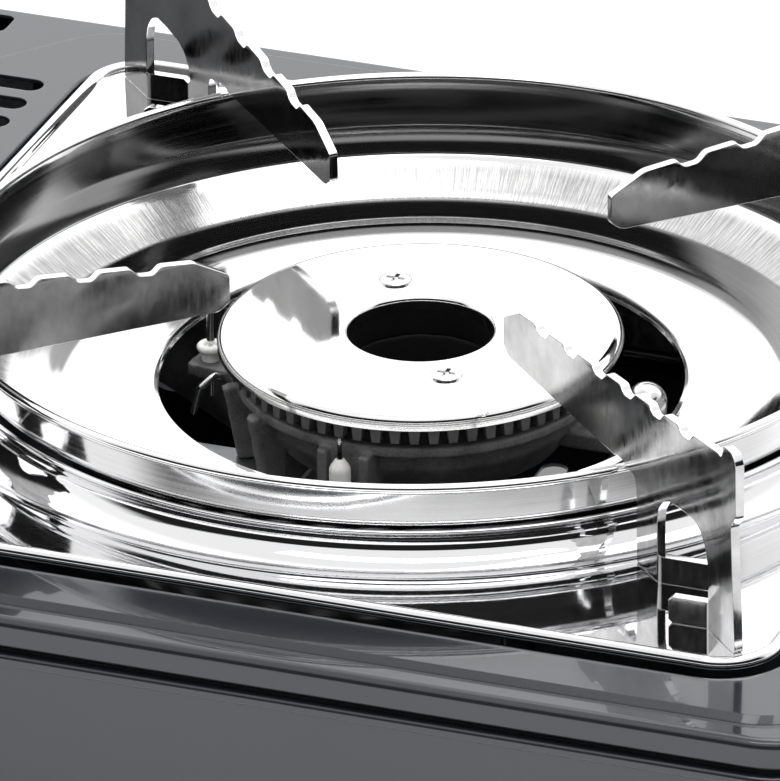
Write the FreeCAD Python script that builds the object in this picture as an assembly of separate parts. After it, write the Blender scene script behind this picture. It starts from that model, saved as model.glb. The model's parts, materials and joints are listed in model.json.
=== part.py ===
import FreeCAD
import Part

import math
import os

# A tabletop gas stove that burns a push-in cartridge. Millimetres, +Z up. The user stands on the -Y side:
# the burner is on the left (-X), the cartridge bay on the right (+X). The origin is under the middle of
# the whole object, on the table. Angles in plan are counted from +X towards +Y.
V = FreeCAD.Vector

# Body
BODY_X = 368.0          # width of the casing
BODY_Y = 280.0          # depth of the casing
BODY_R = 18.0           # plan corner radius
SHEET = 0.8             # casing steel
FOOT_H = 6.0            # rubber feet lift the base by this much
FOOT_R = 9.0
FOOT_STEM = 2.9
FLOOR_SCREW_R = 1.45
DECK_Z = 71.0           # raised middle of the top cover
STEP_H = 1.5            # drop from the raised middle to the border
EDGE_R = 2.2            # rounding where the border turns down
SKIRT_LOW = 63.7        # lower edge of the cover's skirt
SHELL_TOP = 61.4        # upper edge of the base's outer wall
LIP_H = 2.9             # height of the proud lip at that edge
LIP_PROUD = 0.6         # how far the lip stands out from the wall
NECK_IN = 2.4           # how far the base steps in under the skirt
NECK_LAP = 4.0          # how far the neck reaches up inside the skirt
BORDER = 8.0            # width of the lower border of the cover
SLOPE = 1.4             # run of the slope between border and middle

# Places
KNOB_PROUD = 12.0       # the knob stands this far out of the front wall
BODY_CY = KNOB_PROUD / 2
BURNER_X = -BODY_X / 2 + BODY_Y / 2
BURNER_Y = BODY_CY
FRONT_Y = BODY_CY - BODY_Y / 2
REAR_Y = BODY_CY + BODY_Y / 2
RIGHT_X = BODY_X / 2
BASE_Z = FOOT_H
FLOOR_Z = BASE_Z + SHEET

# Pan support assembly
TRAY_HALF = 117.0       # half side of the square tray
TRAY_R = 14.0
TRAY_GAP = 2.3          # gap round the tray
HOLE_HALF = TRAY_HALF + TRAY_GAP
ROLL_R = 1.5            # rolled edge of the tray
TRAY_TOP = 72.2         # upper face of the tray
CHROME = 0.6            # sheet of tray and wind guard
GUARD_R = 99.35         # inner radius of the wind guard
GUARD_TOP = 90.9
GUARD_ROLL = 1.1
COLLAR_TOP = 80.5       # top of the tray's collar round the guard
COLLAR_FLARE = 6.3
BOWL_OPEN_R = 55.6      # opening round the burner
BOWL_Z = 65.9           # lowest ring of the bowl
BOWL_H = 7.5            # from there to the foot of the guard's wall
LEDGE_DROP = 7.0        # the cover turns down this far round the hole
LEDGE_HALF = TRAY_HALF - 13.0   # inner half side of the ledge under the tray
PAD_R = 3.5             # raised pads that the tray rests on
PAD_IN = 7.0            # from the tray's edge to a pad's middle
PAD_OFF = 62.0          # from the tray's middle line to a pad's middle
FIT = 0.1               # gap between parts that seat on each other
RUN = 0.05              # running clearance, radial
COLLAR_R = GUARD_R + CHROME + RUN
COLLAR_HEM = 1.1        # width of the folded edge on the collar
HEM_H = 1.2
BOWL_W = GUARD_R - BOWL_OPEN_R

# Pan supports
LEG_T = 2.0
LEG_TIP_R = 44.0        # how near the blade comes to the burner's axis
LEG_TIP_H = 6.5         # height of the blade's tip
LEG_CLEAR = 1.0         # underside over the guard's rim
LEG_LOW = GUARD_TOP + LEG_CLEAR
LEG_FIRST = 104.3       # height of the first tooth
LEG_RISE = 0.106        # climb of the toothed edge per millimetre
TOOTH_IN = 8.6          # from the tip to the first tooth
TOOTH_PITCH = 13.8
TOOTH_N = 6
TOOTH_DEEP = 1.8
LEG_TOP = 117.0         # top of the outer post
LEG_FOOT_R = COLLAR_R + COLLAR_FLARE + 2.2
POST_IN = 10.0          # width of the inner post
WIN_W = 23.9            # width of the window between the posts
POST_OUT = 12.5         # width of the outer post at its foot
CREST_W = 4.4           # flat top of the outer post
CREST_OUT = 0.6         # the post's head leans out this far past its foot
HEAD_LOW = 103.2        # lower end of the head's outer face
WIN_IN_R = LEG_FOOT_R + POST_IN
WIN_OUT_R = WIN_IN_R + WIN_W
LEG_END_R = WIN_OUT_R + POST_OUT
LEG_OUT_R = LEG_END_R + CREST_OUT
WIN_TOP = 94.0
WIN_SIDE = 86.0         # the window's sides are straight up to here
FLAP_H = 6.1
FLAP_IN = 12.0          # length of the folded tab at the inner post
FLAP_OUT = 9.5

# Burner
CAP_R = 43.0
CAP_TOP = 78.0
CAP_BAND = 3.3
CAP_T = 0.8
CAP_HOLE_R = 15.3
PORT_R = 41.0
PORT_N = 63
PORT_LOW = 72.1
RIM_R = 39.5
RIM_Z = 70.7
RIM_H = 3.0
CHAMBER_R = 36.0
CHAMBER_Z = 54.0
CAST_WALL = 3.0
CORE_R = 17.5           # outer radius of the air passage in the middle
TUBE_Z = 38.0
TUBE_R = 10.5
TUBE_BORE = 8.0
RISER_AT = 26.0         # distance of the riser from the burner's axis
JET_X = BURNER_X + 124.0  # the gas pipe turns here onto the axis of the mixing tube
JET_Y = -84.0
INLET_GAP = 15.0
SCREW_R = 23.7          # cap screws
SCREW_AZ = 123.5
PROBE_R = 49.8
PROBE_AZ = -5.5
PROBE_SEAT = 60.5       # the rod's ceramic ring sits at this height
PROBE_PIN_R = 0.5
CLIP_R = 0.7            # hooked wire beside the rod
STUD_R = 50.5
STUD_AZ = 180.0
STUD_SHANK = 2.0
DOME_R = 4.4
EAR_TOP = 62.0          # upper face of the stud's ear
EAR_T = 4.0             # thickness of the casting's ears
EAR_W = 12.0
SPARK_R = 42.4
SPARK_AZ = 86.9
SPARK_EAR = 48.0        # upper face of the ear that holds the ceramic sleeve
SLEEVE_R = 2.45         # ceramic sleeve
SLEEVE_TOP = 67.9
SLEEVE_LOW = 41.0
NEEDLE_R = 0.6          # spark electrode
NEEDLE_TOP = 71.4
NEEDLE_LOW = 38.5
CHEEK_T = 2.6
FIN_AZ = (30.0, 52.0)   # two ribs on the casting
SCREW_SHANK = 2.0
BOSS_R = 4.5
BRACKET_R = 52.0        # screw that clamps the ear to its post
EAR_SCREW_R = 1.6
POST_FOOT = 12.0        # floor screw of a burner post, outwards from its upper screw
POST_W = 16.0
POST_T = 1.5
LEAD_R = 1.5
LEAD_Z = 12.0
LEAD_CROSS_Y = -72.0    # where the lead goes through the divider
HEAT_Z = 50.0
HEAT_T = 1.2
HEAT_Y0 = 22.0
HEAT_Y1 = 46.0
PIPE_R = 3.0
PIPE_BEND = 9.0
PIPE_Y = -124.0         # the pipe leaves the valve here
JET_OFF = 12.0          # jet's root, from the pipe's last turn
JET_R = 4.5
SHUTTER_AT = 92.0       # air shutter, from the burner's axis
SHUTTER_L = 14.0

# Cartridge side
DIVIDER_X = RIGHT_X - 80.0
LID_X = DIVIDER_X + 3.0
LID_Y0 = -66.0
LID_Y1 = 132.0
LID_GAP = 0.8
LID_TOP = 79.0
LID_R = 10.0
LID_R_OUT = 14.0
LID_FLANGE = 6.0
LOW_WALL = 16.0
HINGE_X = RIGHT_X - 2.8
HINGE_Z = 15.0
HINGE_R = 1.5
HINGE_AT = (-48.0, 114.0)
KNUCKLE_W = 10.0
EAR_GAP = 0.4           # between a knuckle and the bracket's ears
HINGE_EAR = 2.0         # thickness of those ears
CAN_X = RIGHT_X - 39.0
CAN_Z = 42.5
CAN_R = 33.5
BULKHEAD_Y = -68.8
REG_R = 19.0
KNOB_Z = 38.0
KNOB_R = 21.0
SHAFT_R = 3.0
VALVE_W = 28.0
SOCKET_R = 12.0         # regulator's neck
SOCKET_BORE = 6.5
SOCKET_DEEP = 10.0
SOCKET_END = -62.0
PIPE_X = CAN_X - 26.0   # the pipe turns towards the burner's side here
REG_Y0 = -108.0
REG_Y1 = -88.0
REG_WALL = 3.0
COVER_LAP = 2.6         # the drum's cover stands out this far
SHAFT_DEEP = 16.0
SHAFT_END = FRONT_Y + SHAFT_DEEP
PIEZO_X = CAN_X - 18.0
PIEZO_Y = -116.0
PIEZO_HALF = 11.0
PIVOT_Y = -100.0
PIVOT_Z = 28.0
LEVER_X = DIVIDER_X + 2.4
LEVER_T = 2.0
LEVER_ARM = 42.0        # from the pivot to the end inside the handle
PIVOT_R = 3.0
CRANK_R = 19.1
CRANK_PIN_R = 2.0
TONGUE_OFF = 17.0       # tongue that shows in the window
TONGUE_W = 7.0
TONGUE_H = 33.5
LEVER_SWING = 24.0      # degrees
THROW = 2 * CRANK_R * math.sin(math.radians(LEVER_SWING / 2))
BAR_X = DIVIDER_X + 5.0
BAR_T = 1.2
BAR_TOP = 53.0
BAR_H = 6.5
GUIDE_AT = (-40.0, 90.0)
GUIDE_GAP = 0.3
RAIL_GAP = 40.0
PUSHER_Y = 127.0

SLOT_X0 = DIVIDER_X - 22.0
SLOT_L = 16.0
SLOT_X1 = SLOT_X0 + SLOT_L
SLOT_W = 6.0
SLOT_PITCH = 10.0
SLOT_N = 21


def box(x0, x1, y0, y1, z0, z1):
    return Part.makeBox(x1 - x0, y1 - y0, z1 - z0, V(x0, y0, z0))


def post(r, z0, z1, x, y):
    return Part.makeCylinder(r, z1 - z0, V(x, y, z0))


def rod(r, start, end):
    run = end - start
    return Part.makeCylinder(r, run.Length, start, run)


def join(shapes):
    first = shapes[0]
    rest = shapes[1:]
    return first.fuse(rest).removeSplitter() if rest else first


def on_burner(r, degrees):
    a = math.radians(degrees)
    return BURNER_X + r * math.cos(a), BURNER_Y + r * math.sin(a)


def turned(shape, degrees, x=BURNER_X, y=BURNER_Y):
    out = shape.copy()
    out.rotate(V(x, y, 0), V(0, 0, 1), degrees)
    return out


def slab(points, z0, z1):
    """Upright prism over a plan outline."""
    outline = [V(x, y, z0) for x, y in points]
    return Part.Face(Part.makePolygon(outline + outline[:1])).extrude(V(0, 0, z1 - z0))


def upright_edges(shape):
    found = []
    for edge in shape.Edges:
        way = edge.Vertexes[-1].Point - edge.Vertexes[0].Point
        if len(edge.Vertexes) == 2 and abs(way.x) < 1e-6 and abs(way.y) < 1e-6 and abs(way.z) > 1e-6:
            found.append(edge)
    return found


def edges_at(shape, z):
    return [e for e in shape.Edges if abs(e.BoundBox.ZMin - z) < 1e-4 and abs(e.BoundBox.ZMax - z) < 1e-4]


def rounded(cx, cy, hx, hy, r, z0, z1):
    """Upright rounded block, given by its half sides."""
    block = box(cx - hx, cx + hx, cy - hy, cy + hy, z0, z1)
    return block.makeFillet(r, upright_edges(block))


def square(half, r, z0, z1):
    return rounded(BURNER_X, BURNER_Y, half, half, r, z0, z1)


def turn(outline, x=BURNER_X, y=BURNER_Y):
    """Solid of revolution about the upright line at x, y, from (radius, height) points."""
    points = [V(x + r, y, z) for r, z in outline]
    return Part.Face(Part.makePolygon(points + points[:1])).revolve(V(x, y, 0), V(0, 0, 1), 360)


def plate_xz(points, y0, y1):
    outline = [V(x, y0, z) for x, z in points]
    return Part.Face(Part.makePolygon(outline + outline[:1])).extrude(V(0, y1 - y0, 0))


def bent_rod(points, radius, bend):
    """Round rod along straight runs joined by arcs of one radius."""
    pts = [V(*p) for p in points]
    edges = []
    start = pts[0]
    for i in range(1, len(pts) - 1):
        back = (pts[i - 1] - pts[i]).normalize()
        ahead = (pts[i + 1] - pts[i]).normalize()
        half = math.acos(max(-1.0, min(1.0, back.dot(ahead)))) / 2
        cut = bend / math.tan(half)
        mid_way = (back + ahead).normalize()
        a = pts[i] + back * cut
        b = pts[i] + ahead * cut
        m = pts[i] + mid_way * (bend / math.sin(half) - bend)
        edges.append(Part.LineSegment(start, a).toShape())
        edges.append(Part.Arc(a, m, b).toShape())
        start = b
    edges.append(Part.LineSegment(start, pts[-1]).toShape())
    path = Part.Wire(edges)
    ring = Part.Wire([Part.makeCircle(radius, pts[0], pts[1] - pts[0])])
    return path.makePipeShell([ring], True, False)


def solid_of(shape):
    parts = shape.Solids
    return parts[0] if len(parts) == 1 else Part.makeCompound(parts)


def base_shell():
    """Steel tub: floor, walls with a proud lip, and a neck that steps in under the cover's skirt."""
    hx = BODY_X / 2
    hy = BODY_Y / 2
    lip_z = SHELL_TOP - LIP_H
    wall = rounded(0, BODY_CY, hx - LIP_PROUD, hy - LIP_PROUD, BODY_R - LIP_PROUD, BASE_Z, SHELL_TOP - 1)
    wall = wall.makeFillet(4.0, edges_at(wall, BASE_Z))
    lip = rounded(0, BODY_CY, hx, hy, BODY_R, lip_z, SHELL_TOP)
    lip = lip.makeFillet(1.2, edges_at(lip, SHELL_TOP) + edges_at(lip, lip_z))
    neck_h = SKIRT_LOW + NECK_LAP
    neck = rounded(0, BODY_CY, hx - NECK_IN, hy - NECK_IN, BODY_R - NECK_IN, SHELL_TOP - 1, neck_h)
    inside = LIP_PROUD + SHEET
    hollow = rounded(0, BODY_CY, hx - inside, hy - inside, BODY_R - inside, FLOOR_Z, SHELL_TOP - SHEET)
    hollow = hollow.makeFillet(3.2, edges_at(hollow, FLOOR_Z))
    throat = NECK_IN + SHEET
    upper = rounded(0, BODY_CY, hx - throat, hy - throat, BODY_R - throat, SHELL_TOP - 3, neck_h + 1)
    shell = wall.fuse([lip, neck]).cut(hollow.fuse(upper))
    side = box(RIGHT_X - 9, RIGHT_X + 5, LID_Y0 - LID_GAP, LID_Y1 + LID_GAP, LOW_WALL, neck_h + 5)
    cuts = [side]
    for y in HINGE_AT:
        cuts.append(box(RIGHT_X - 3, RIGHT_X + 5, y - 8, y + 8, HINGE_Z - 5, LOW_WALL + 1))
    cuts.append(rod(SHAFT_R + 1.0, V(CAN_X, FRONT_Y - 1, KNOB_Z), V(CAN_X, FRONT_Y + 4, KNOB_Z)))
    cuts.append(lever_slot())
    for x, y in foot_places():
        cuts.append(post(FOOT_STEM + FIT, BASE_Z - 1, FLOOR_Z + 1, x, y))
    for x, y in floor_screw_places():
        cuts.append(post(FLOOR_SCREW_R + 0.15, BASE_Z - 1, FLOOR_Z + 1, x, y))
    for i in range(9):
        x = BURNER_X - 64 + 16 * i
        cuts.append(rounded(x, BURNER_Y - 62, 3.0, 22.0, 2.9, BASE_Z - 1, FLOOR_Z + 1))
        cuts.append(rounded(x, BURNER_Y + 76, 3.0, 22.0, 2.9, BASE_Z - 1, FLOOR_Z + 1))
    return shell.cut(cuts)


def lever_slot():
    reach = math.radians(LEVER_SWING / 2)
    arm = PIVOT_Y - FRONT_Y
    half = arm * math.tan(reach) + 5.5
    x0 = LEVER_X - 1.0
    return box(x0, x0 + LEVER_T + 2, FRONT_Y - 1, FRONT_Y + 4, PIVOT_Z - half, PIVOT_Z + half)


def foot_places():
    return [(sx * (BODY_X / 2 - 26), BODY_CY + sy * (BODY_Y / 2 - 24)) for sx in (-1, 1) for sy in (-1, 1)]


def post_places():
    """Where the cover is screwed to the base, from below."""
    left = -BODY_X / 2 + 15
    right = DIVIDER_X - 6
    return [(x, BODY_CY + s * (BODY_Y / 2 - 14)) for x in (left, right) for s in (-1, 1)]


def bracket_places():
    """Screws through the feet of the burner's two posts."""
    return [on_burner(r + POST_FOOT, az) for r, az in ((STUD_R, STUD_AZ), (BRACKET_R, SPARK_AZ))]


def floor_screw_places():
    return post_places() + bracket_places()


def plateau(grow, z0, z1):
    """Raised middle of the cover, with its two slanting corners by the cartridge lid."""
    left = -BODY_X / 2 + BORDER - grow
    half = BODY_Y / 2 - BORDER + grow
    right = LID_X + 2 + grow
    corner_x = DIVIDER_X - 24.0 + grow * 0.5
    slant_y = 96.0 + grow * 0.5
    points = []
    near = [(left, half), (corner_x, half), (right, slant_y)]
    for x, y in near:
        points.append((x, BODY_CY + y))
    for x, y in reversed(near):
        points.append((x, BODY_CY - y))
    block = slab(points, z0, z1)
    outer = [e for e in upright_edges(block) if e.BoundBox.XMin < LID_X - 1]
    return block.makeFillet(14.0 + grow, outer)


def cover_skin(inset, drop):
    """The cover's outside, or with the sheet taken off, its inside."""
    border_z = DECK_Z - STEP_H - drop
    hx = BODY_X / 2 - inset
    hy = BODY_Y / 2 - inset
    block = rounded(0, BODY_CY, hx, hy, BODY_R - inset, SKIRT_LOW - inset, border_z)
    block = block.makeFillet(EDGE_R - inset, edges_at(block, border_z))
    raised = plateau(SLOPE - inset, border_z - 1, DECK_Z - drop)
    raised = raised.makeChamfer(STEP_H - 0.1, edges_at(raised, DECK_Z - drop))
    return block.fuse(raised)


def hole_edges(cover):
    """Upper edges of the tray's hole."""
    found = []
    reach = HOLE_HALF + 0.1
    for edge in edges_at(cover, DECK_Z):
        b = edge.BoundBox
        in_x = b.XMin > BURNER_X - reach and b.XMax < BURNER_X + reach
        in_y = b.YMin > BURNER_Y - reach and b.YMax < BURNER_Y + reach
        if in_x and in_y:
            found.append(edge)
    return found


def top_cover():
    """Painted deck: raised middle, square hole with a ledge for the tray, vents, window, lid opening."""
    cover = cover_skin(0, 0).cut(cover_skin(SHEET, SHEET))
    ledge_z = DECK_Z - LEDGE_DROP
    hole_r = TRAY_R + 2
    tub = square(HOLE_HALF + SHEET, hole_r + SHEET, ledge_z, DECK_Z)
    tub = tub.cut(square(HOLE_HALF, hole_r, ledge_z + SHEET, DECK_Z + 1))
    tub = tub.cut(square(LEDGE_HALF, TRAY_R, ledge_z - 1, ledge_z + 2))
    cover = cover.cut(square(HOLE_HALF, hole_r, ledge_z - 1, DECK_Z + 1)).fuse(tub).removeSplitter()
    cover = cover.makeFillet(SHEET * 0.9, hole_edges(cover))
    pads = []
    pad_at = TRAY_HALF - PAD_IN
    pad_z = TRAY_TOP - CHROME - FIT
    for sx in (-1, 1):
        for sy in (-1, 1):
            for x, y in ((pad_at, PAD_OFF), (PAD_OFF, pad_at)):
                pads.append(post(PAD_R, ledge_z, pad_z, BURNER_X + sx * x, BURNER_Y + sy * y))
    cover = cover.fuse(pads)
    low = DECK_Z - 5.8
    cover = cover.cut(box(LID_X, RIGHT_X + 5, LID_Y0, LID_Y1, low - 5, DECK_Z + 5))
    border_z = DECK_Z - STEP_H
    inner_x = RIGHT_X - SHEET
    frame = [
        box(LID_X - SHEET, LID_X, LID_Y0, LID_Y1, low, DECK_Z - SHEET),
        box(LID_X - SHEET, LID_X + 3, LID_Y0, LID_Y1, low, low + SHEET),
        box(LID_X - SHEET, inner_x, LID_Y0 - SHEET, LID_Y0, low, border_z - SHEET / 2),
        box(LID_X - SHEET, inner_x - 12, LID_Y0 - SHEET, LID_Y0 + 3, low, low + SHEET),
        box(LID_X - SHEET, inner_x, LID_Y1, LID_Y1 + SHEET, low, border_z - SHEET / 2),
        box(LID_X - SHEET, inner_x - 12, LID_Y1 - 3, LID_Y1 + SHEET, low, low + SHEET),
    ]
    cover = cover.fuse(frame)
    cuts = []
    mid = (SLOT_X0 + SLOT_X1) / 2
    for i in range(SLOT_N):
        y = BODY_CY + SLOT_PITCH * (i - (SLOT_N - 1) / 2)
        half = (SLOT_X1 - SLOT_X0) / 2
        cuts.append(rounded(mid, y, half, SLOT_W / 2, SLOT_W / 2 - 0.05, DECK_Z - 4, DECK_Z + 2))
    window_x = LID_X + 5.0
    cuts.append(rounded(window_x, FRONT_Y + 8.8, 9.5, 4.3, 2.0, DECK_Z - 8, DECK_Z + 2))
    return cover.cut(cuts)


def cover_posts():
    """Four upright channels that tie the cover to the floor."""
    top = DECK_Z - STEP_H - SHEET - FIT
    out = []
    for x, y in post_places():
        tube = rounded(x, y, 5.0, 5.0, 1.0, FLOOR_Z, top)
        out.append(tube.cut(post(FLOOR_SCREW_R + RUN, FLOOR_Z - 1, FLOOR_Z + 12, x, y)))
    return Part.makeCompound(out)


def screw_up(x, y, head_r, head_h, shank_r, seat_z, length):
    """Screw put in from below; its head hangs under seat_z."""
    head = post(head_r, seat_z - head_h, seat_z, x, y)
    head = head.makeFillet(head_h * 0.4, edges_at(head, seat_z - head_h))
    reach = head_r * 0.6
    cross = box(x - reach, x + reach, y - 0.4, y + 0.4, seat_z - head_h - 1, seat_z - head_h * 0.45)
    other = turned(cross, 90, x, y)
    return head.fuse(post(shank_r, seat_z, seat_z + length, x, y)).cut([cross, other])


def floor_screws():
    places = floor_screw_places()
    return Part.makeCompound([screw_up(x, y, 3.2, 1.8, FLOOR_SCREW_R, BASE_Z, 9.0) for x, y in places])


def rubber_feet():
    out = []
    for x, y in foot_places():
        pad = post(FOOT_R, 0, BASE_Z, x, y)
        pad = pad.makeFillet(1.2, edges_at(pad, 0))
        stem = post(FOOT_STEM, BASE_Z, FLOOR_Z, x, y)
        out.append(pad.fuse([stem, post(FOOT_STEM + 1.3, FLOOR_Z, FLOOR_Z + 1.6, x, y)]))
    return Part.makeCompound(out)


def divider():
    """Upright heat shield between the burner and the cartridge bay."""
    y0 = FRONT_Y + LIP_PROUD + SHEET + 4.5
    y1 = REAR_Y - LIP_PROUD - SHEET - 4.5
    wall = box(DIVIDER_X, DIVIDER_X + SHEET, y0, y1, FLOOR_Z, DECK_Z - 6)
    foot = box(DIVIDER_X - 8, DIVIDER_X + SHEET, y0 + 20, y1 - 20, FLOOR_Z, FLOOR_Z + SHEET)
    cuts = [
        rod(4.2, V(DIVIDER_X - 2, JET_Y, TUBE_Z), V(DIVIDER_X + 3, JET_Y, TUBE_Z)),
        rod(3.2, V(DIVIDER_X - 2, LEAD_CROSS_Y, LEAD_Z), V(DIVIDER_X + 3, LEAD_CROSS_Y, LEAD_Z)),
        box(DIVIDER_X - 2, DIVIDER_X + 3, HEAT_Y0 - 1, HEAT_Y1 + 1, HEAT_Z - 1, HEAT_Z + HEAT_T + 1),
    ]
    return wall.fuse(foot).cut(cuts)


def heat_plate():
    """Strip that carries a little warmth from the burner to the cartridge."""
    x0 = BURNER_X + CHAMBER_R / 2
    strip = box(x0, DIVIDER_X + SHEET + 1.6, HEAT_Y0, HEAT_Y1, HEAT_Z, HEAT_Z + HEAT_T)
    x1 = DIVIDER_X + SHEET + 0.4
    panel = box(x1, x1 + HEAT_T, HEAT_Y0 - 12, HEAT_Y1 + 12, HEAT_Z - 34, HEAT_Z + HEAT_T)
    return strip.fuse(panel).removeSplitter()


def bulkhead():
    """Wall between the cartridge bay and the regulator."""
    x0 = DIVIDER_X + SHEET + 0.2
    x1 = RIGHT_X - NECK_IN - SHEET - 0.5
    top = DECK_Z - 6
    wall = box(x0, x1, BULKHEAD_Y, BULKHEAD_Y + SHEET, FLOOR_Z + 3, top)
    foot = box(x0 + 8, x1 - 4, BULKHEAD_Y - 8, BULKHEAD_Y + SHEET, FLOOR_Z, FLOOR_Z + SHEET)
    web = box(x0 + 8, x1 - 4, BULKHEAD_Y, BULKHEAD_Y + SHEET, FLOOR_Z, FLOOR_Z + 4)
    neck = rod(SOCKET_R + 0.4, V(CAN_X, BULKHEAD_Y - 2, CAN_Z), V(CAN_X, BULKHEAD_Y + 3, CAN_Z))
    bar = box(x0 - 1, BAR_X + BAR_T + 1.2, BULKHEAD_Y - 2, BULKHEAD_Y + 3, CAN_Z - 2, top + 1)
    low = box(x0 - 1, x0 + 7, BULKHEAD_Y - 2, BULKHEAD_Y + 3, FLOOR_Z, FLOOR_Z + 12)
    return join([wall, foot, web]).cut([neck, bar, low])


def regulator_body():
    """Cast pressure regulator: a drum with the socket that takes the cartridge's nose."""
    drum = rod(REG_R, V(CAN_X, REG_Y0, CAN_Z), V(CAN_X, REG_Y1, CAN_Z))
    room = rod(REG_R - REG_WALL, V(CAN_X, REG_Y0 - 1, CAN_Z), V(CAN_X, REG_Y0 + 9, CAN_Z))
    neck = rod(SOCKET_R, V(CAN_X, REG_Y1 - 1, CAN_Z), V(CAN_X, SOCKET_END, CAN_Z))
    collar = rod(SOCKET_R + 4, V(CAN_X, BULKHEAD_Y - 4, CAN_Z), V(CAN_X, BULKHEAD_Y - FIT, CAN_Z))
    bore = rod(SOCKET_BORE, V(CAN_X, SOCKET_END - SOCKET_DEEP, CAN_Z), V(CAN_X, SOCKET_END + 1, CAN_Z))
    return join([drum.cut(room), neck, collar]).cut(bore)


def regulator_diaphragm():
    y = REG_Y0 + 4
    disc = rod(REG_R - REG_WALL - FIT, V(CAN_X, y, CAN_Z), V(CAN_X, y + 1.0, CAN_Z))
    return disc.fuse(rod(6, V(CAN_X, y + 1.0, CAN_Z), V(CAN_X, y + 2.6, CAN_Z)))


def regulator_cover():
    """Pressed cap that closes the drum on the diaphragm's side."""
    cap = rod(REG_R + 1, V(CAN_X, REG_Y0 - COVER_LAP, CAN_Z), V(CAN_X, REG_Y0 + 3, CAN_Z))
    return cap.cut(rod(REG_R + FIT, V(CAN_X, REG_Y0 - FIT, CAN_Z), V(CAN_X, REG_Y0 + 4, CAN_Z)))


def valve_body():
    """Gas valve behind the front wall, with the shaft's bore and the pipe's port."""
    y0 = FRONT_Y + LIP_PROUD + SHEET + 0.2
    y1 = REG_Y0 - COVER_LAP - 0.2
    block = rounded(CAN_X, (y0 + y1) / 2, VALVE_W / 2, (y1 - y0) / 2, 3.0, KNOB_Z - 12, KNOB_Z + 17)
    bore = rod(SHAFT_R + RUN, V(CAN_X, y0 - 1, KNOB_Z), V(CAN_X, SHAFT_END + 0.3, KNOB_Z))
    return block.cut(bore)


def knob_shaft():
    start = V(CAN_X, FRONT_Y - KNOB_PROUD + 4, KNOB_Z)
    shaft = rod(SHAFT_R, start, V(CAN_X, SHAFT_END, KNOB_Z))
    flat = box(CAN_X - 5, CAN_X + 5, FRONT_Y - KNOB_PROUD, FRONT_Y - 1, KNOB_Z + SHAFT_R - 0.8, KNOB_Z + 6)
    return shaft.cut(flat)


def knob():
    """Round control knob with a grip bar across its face."""
    back = FRONT_Y - 1.0
    face = FRONT_Y - 6.0
    end = FRONT_Y - KNOB_PROUD
    disc = rod(KNOB_R, V(CAN_X, back, KNOB_Z), V(CAN_X, face, KNOB_Z))
    disc = disc.makeFillet(1.2, [e for e in disc.Edges if abs(e.BoundBox.YMin - face) < 1e-4])
    grip = rounded(0, 0, 4.5, KNOB_R - 1.5, 4.4, 0, face - end + 1)
    grip = grip.makeFillet(1.2, edges_at(grip, face - end + 1))
    grip.rotate(V(0, 0, 0), V(1, 0, 0), 90)
    grip.translate(V(CAN_X, face + 1, KNOB_Z))
    hole = rod(SHAFT_R, V(CAN_X, back + 1, KNOB_Z), V(CAN_X, end + 4, KNOB_Z))
    return disc.fuse(grip).cut(hole)


def piezo_unit():
    """Spark generator on the floor under the valve."""
    case = rounded(PIEZO_X, PIEZO_Y, 9.0, PIEZO_HALF, 1.5, FLOOR_Z, FLOOR_Z + 15)
    nose_y = PIEZO_Y + PIEZO_HALF - 1
    nose = rod(2 * LEAD_R, V(PIEZO_X, nose_y, LEAD_Z), V(PIEZO_X, nose_y + 5, LEAD_Z))
    return case.fuse(nose)


def gas_pipe():
    """Bent aluminium pipe from the valve to the jet."""
    end = V(JET_X, JET_Y, TUBE_Z) + tube_way() * JET_OFF
    points = [
        (CAN_X - VALVE_W / 2, PIPE_Y, TUBE_Z), (PIPE_X, PIPE_Y, TUBE_Z), (PIPE_X, JET_Y, TUBE_Z),
        (JET_X, JET_Y, TUBE_Z), (end.x, end.y, end.z)]
    return bent_rod(points, PIPE_R, PIPE_BEND)


def pipe_nuts():
    face = CAN_X - VALVE_W / 2 - FIT
    port = rod(PIPE_R + 2.5, V(face, PIPE_Y, TUBE_Z), V(face - 6, PIPE_Y, TUBE_Z))
    return port.cut(rod(PIPE_R + RUN, V(face + 1, PIPE_Y, TUBE_Z), V(face - 8, PIPE_Y, TUBE_Z)))


def tube_way():
    return V(BURNER_X - JET_X, BURNER_Y - JET_Y, 0).normalize()


def jet():
    """Brass jet on the end of the pipe, pointing into the mixing tube."""
    way = tube_way()
    root = V(JET_X, JET_Y, TUBE_Z) + way * JET_OFF
    body = rod(JET_R, root, root + way * 6)
    tip = Part.makeCone(JET_R - 1, 1.6, 4, root + way * 6, way)
    return body.fuse(tip).cut(rod(0.3, root + way * 1, root + way * 12))


def jet_bracket():
    """Bent sheet that holds the jet and the inlet of the mixing tube."""
    way = tube_way()
    angle = math.degrees(math.atan2(way.y, way.x))
    x0 = JET_OFF + 2.5
    plate = box(x0, x0 + 1.5, -15, 15, FLOOR_Z, TUBE_Z + 14)
    foot = box(x0 - 12, x0 + 1.5, -15, 15, FLOOR_Z, FLOOR_Z + 1.5)
    eye = rod(JET_R, V(x0 - 1, 0, TUBE_Z), V(x0 + 3, 0, TUBE_Z))
    out = plate.fuse(foot).cut(eye)
    arms = [box(x0, x0 + 13, s * 14 - 1, s * 14 + 1, TUBE_Z - 4, TUBE_Z + 4) for s in (-1, 1)]
    out = out.fuse(arms)
    out.rotate(V(0, 0, 0), V(0, 0, 1), angle)
    out.translate(V(JET_X, JET_Y, 0))
    return out.removeSplitter()


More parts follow.
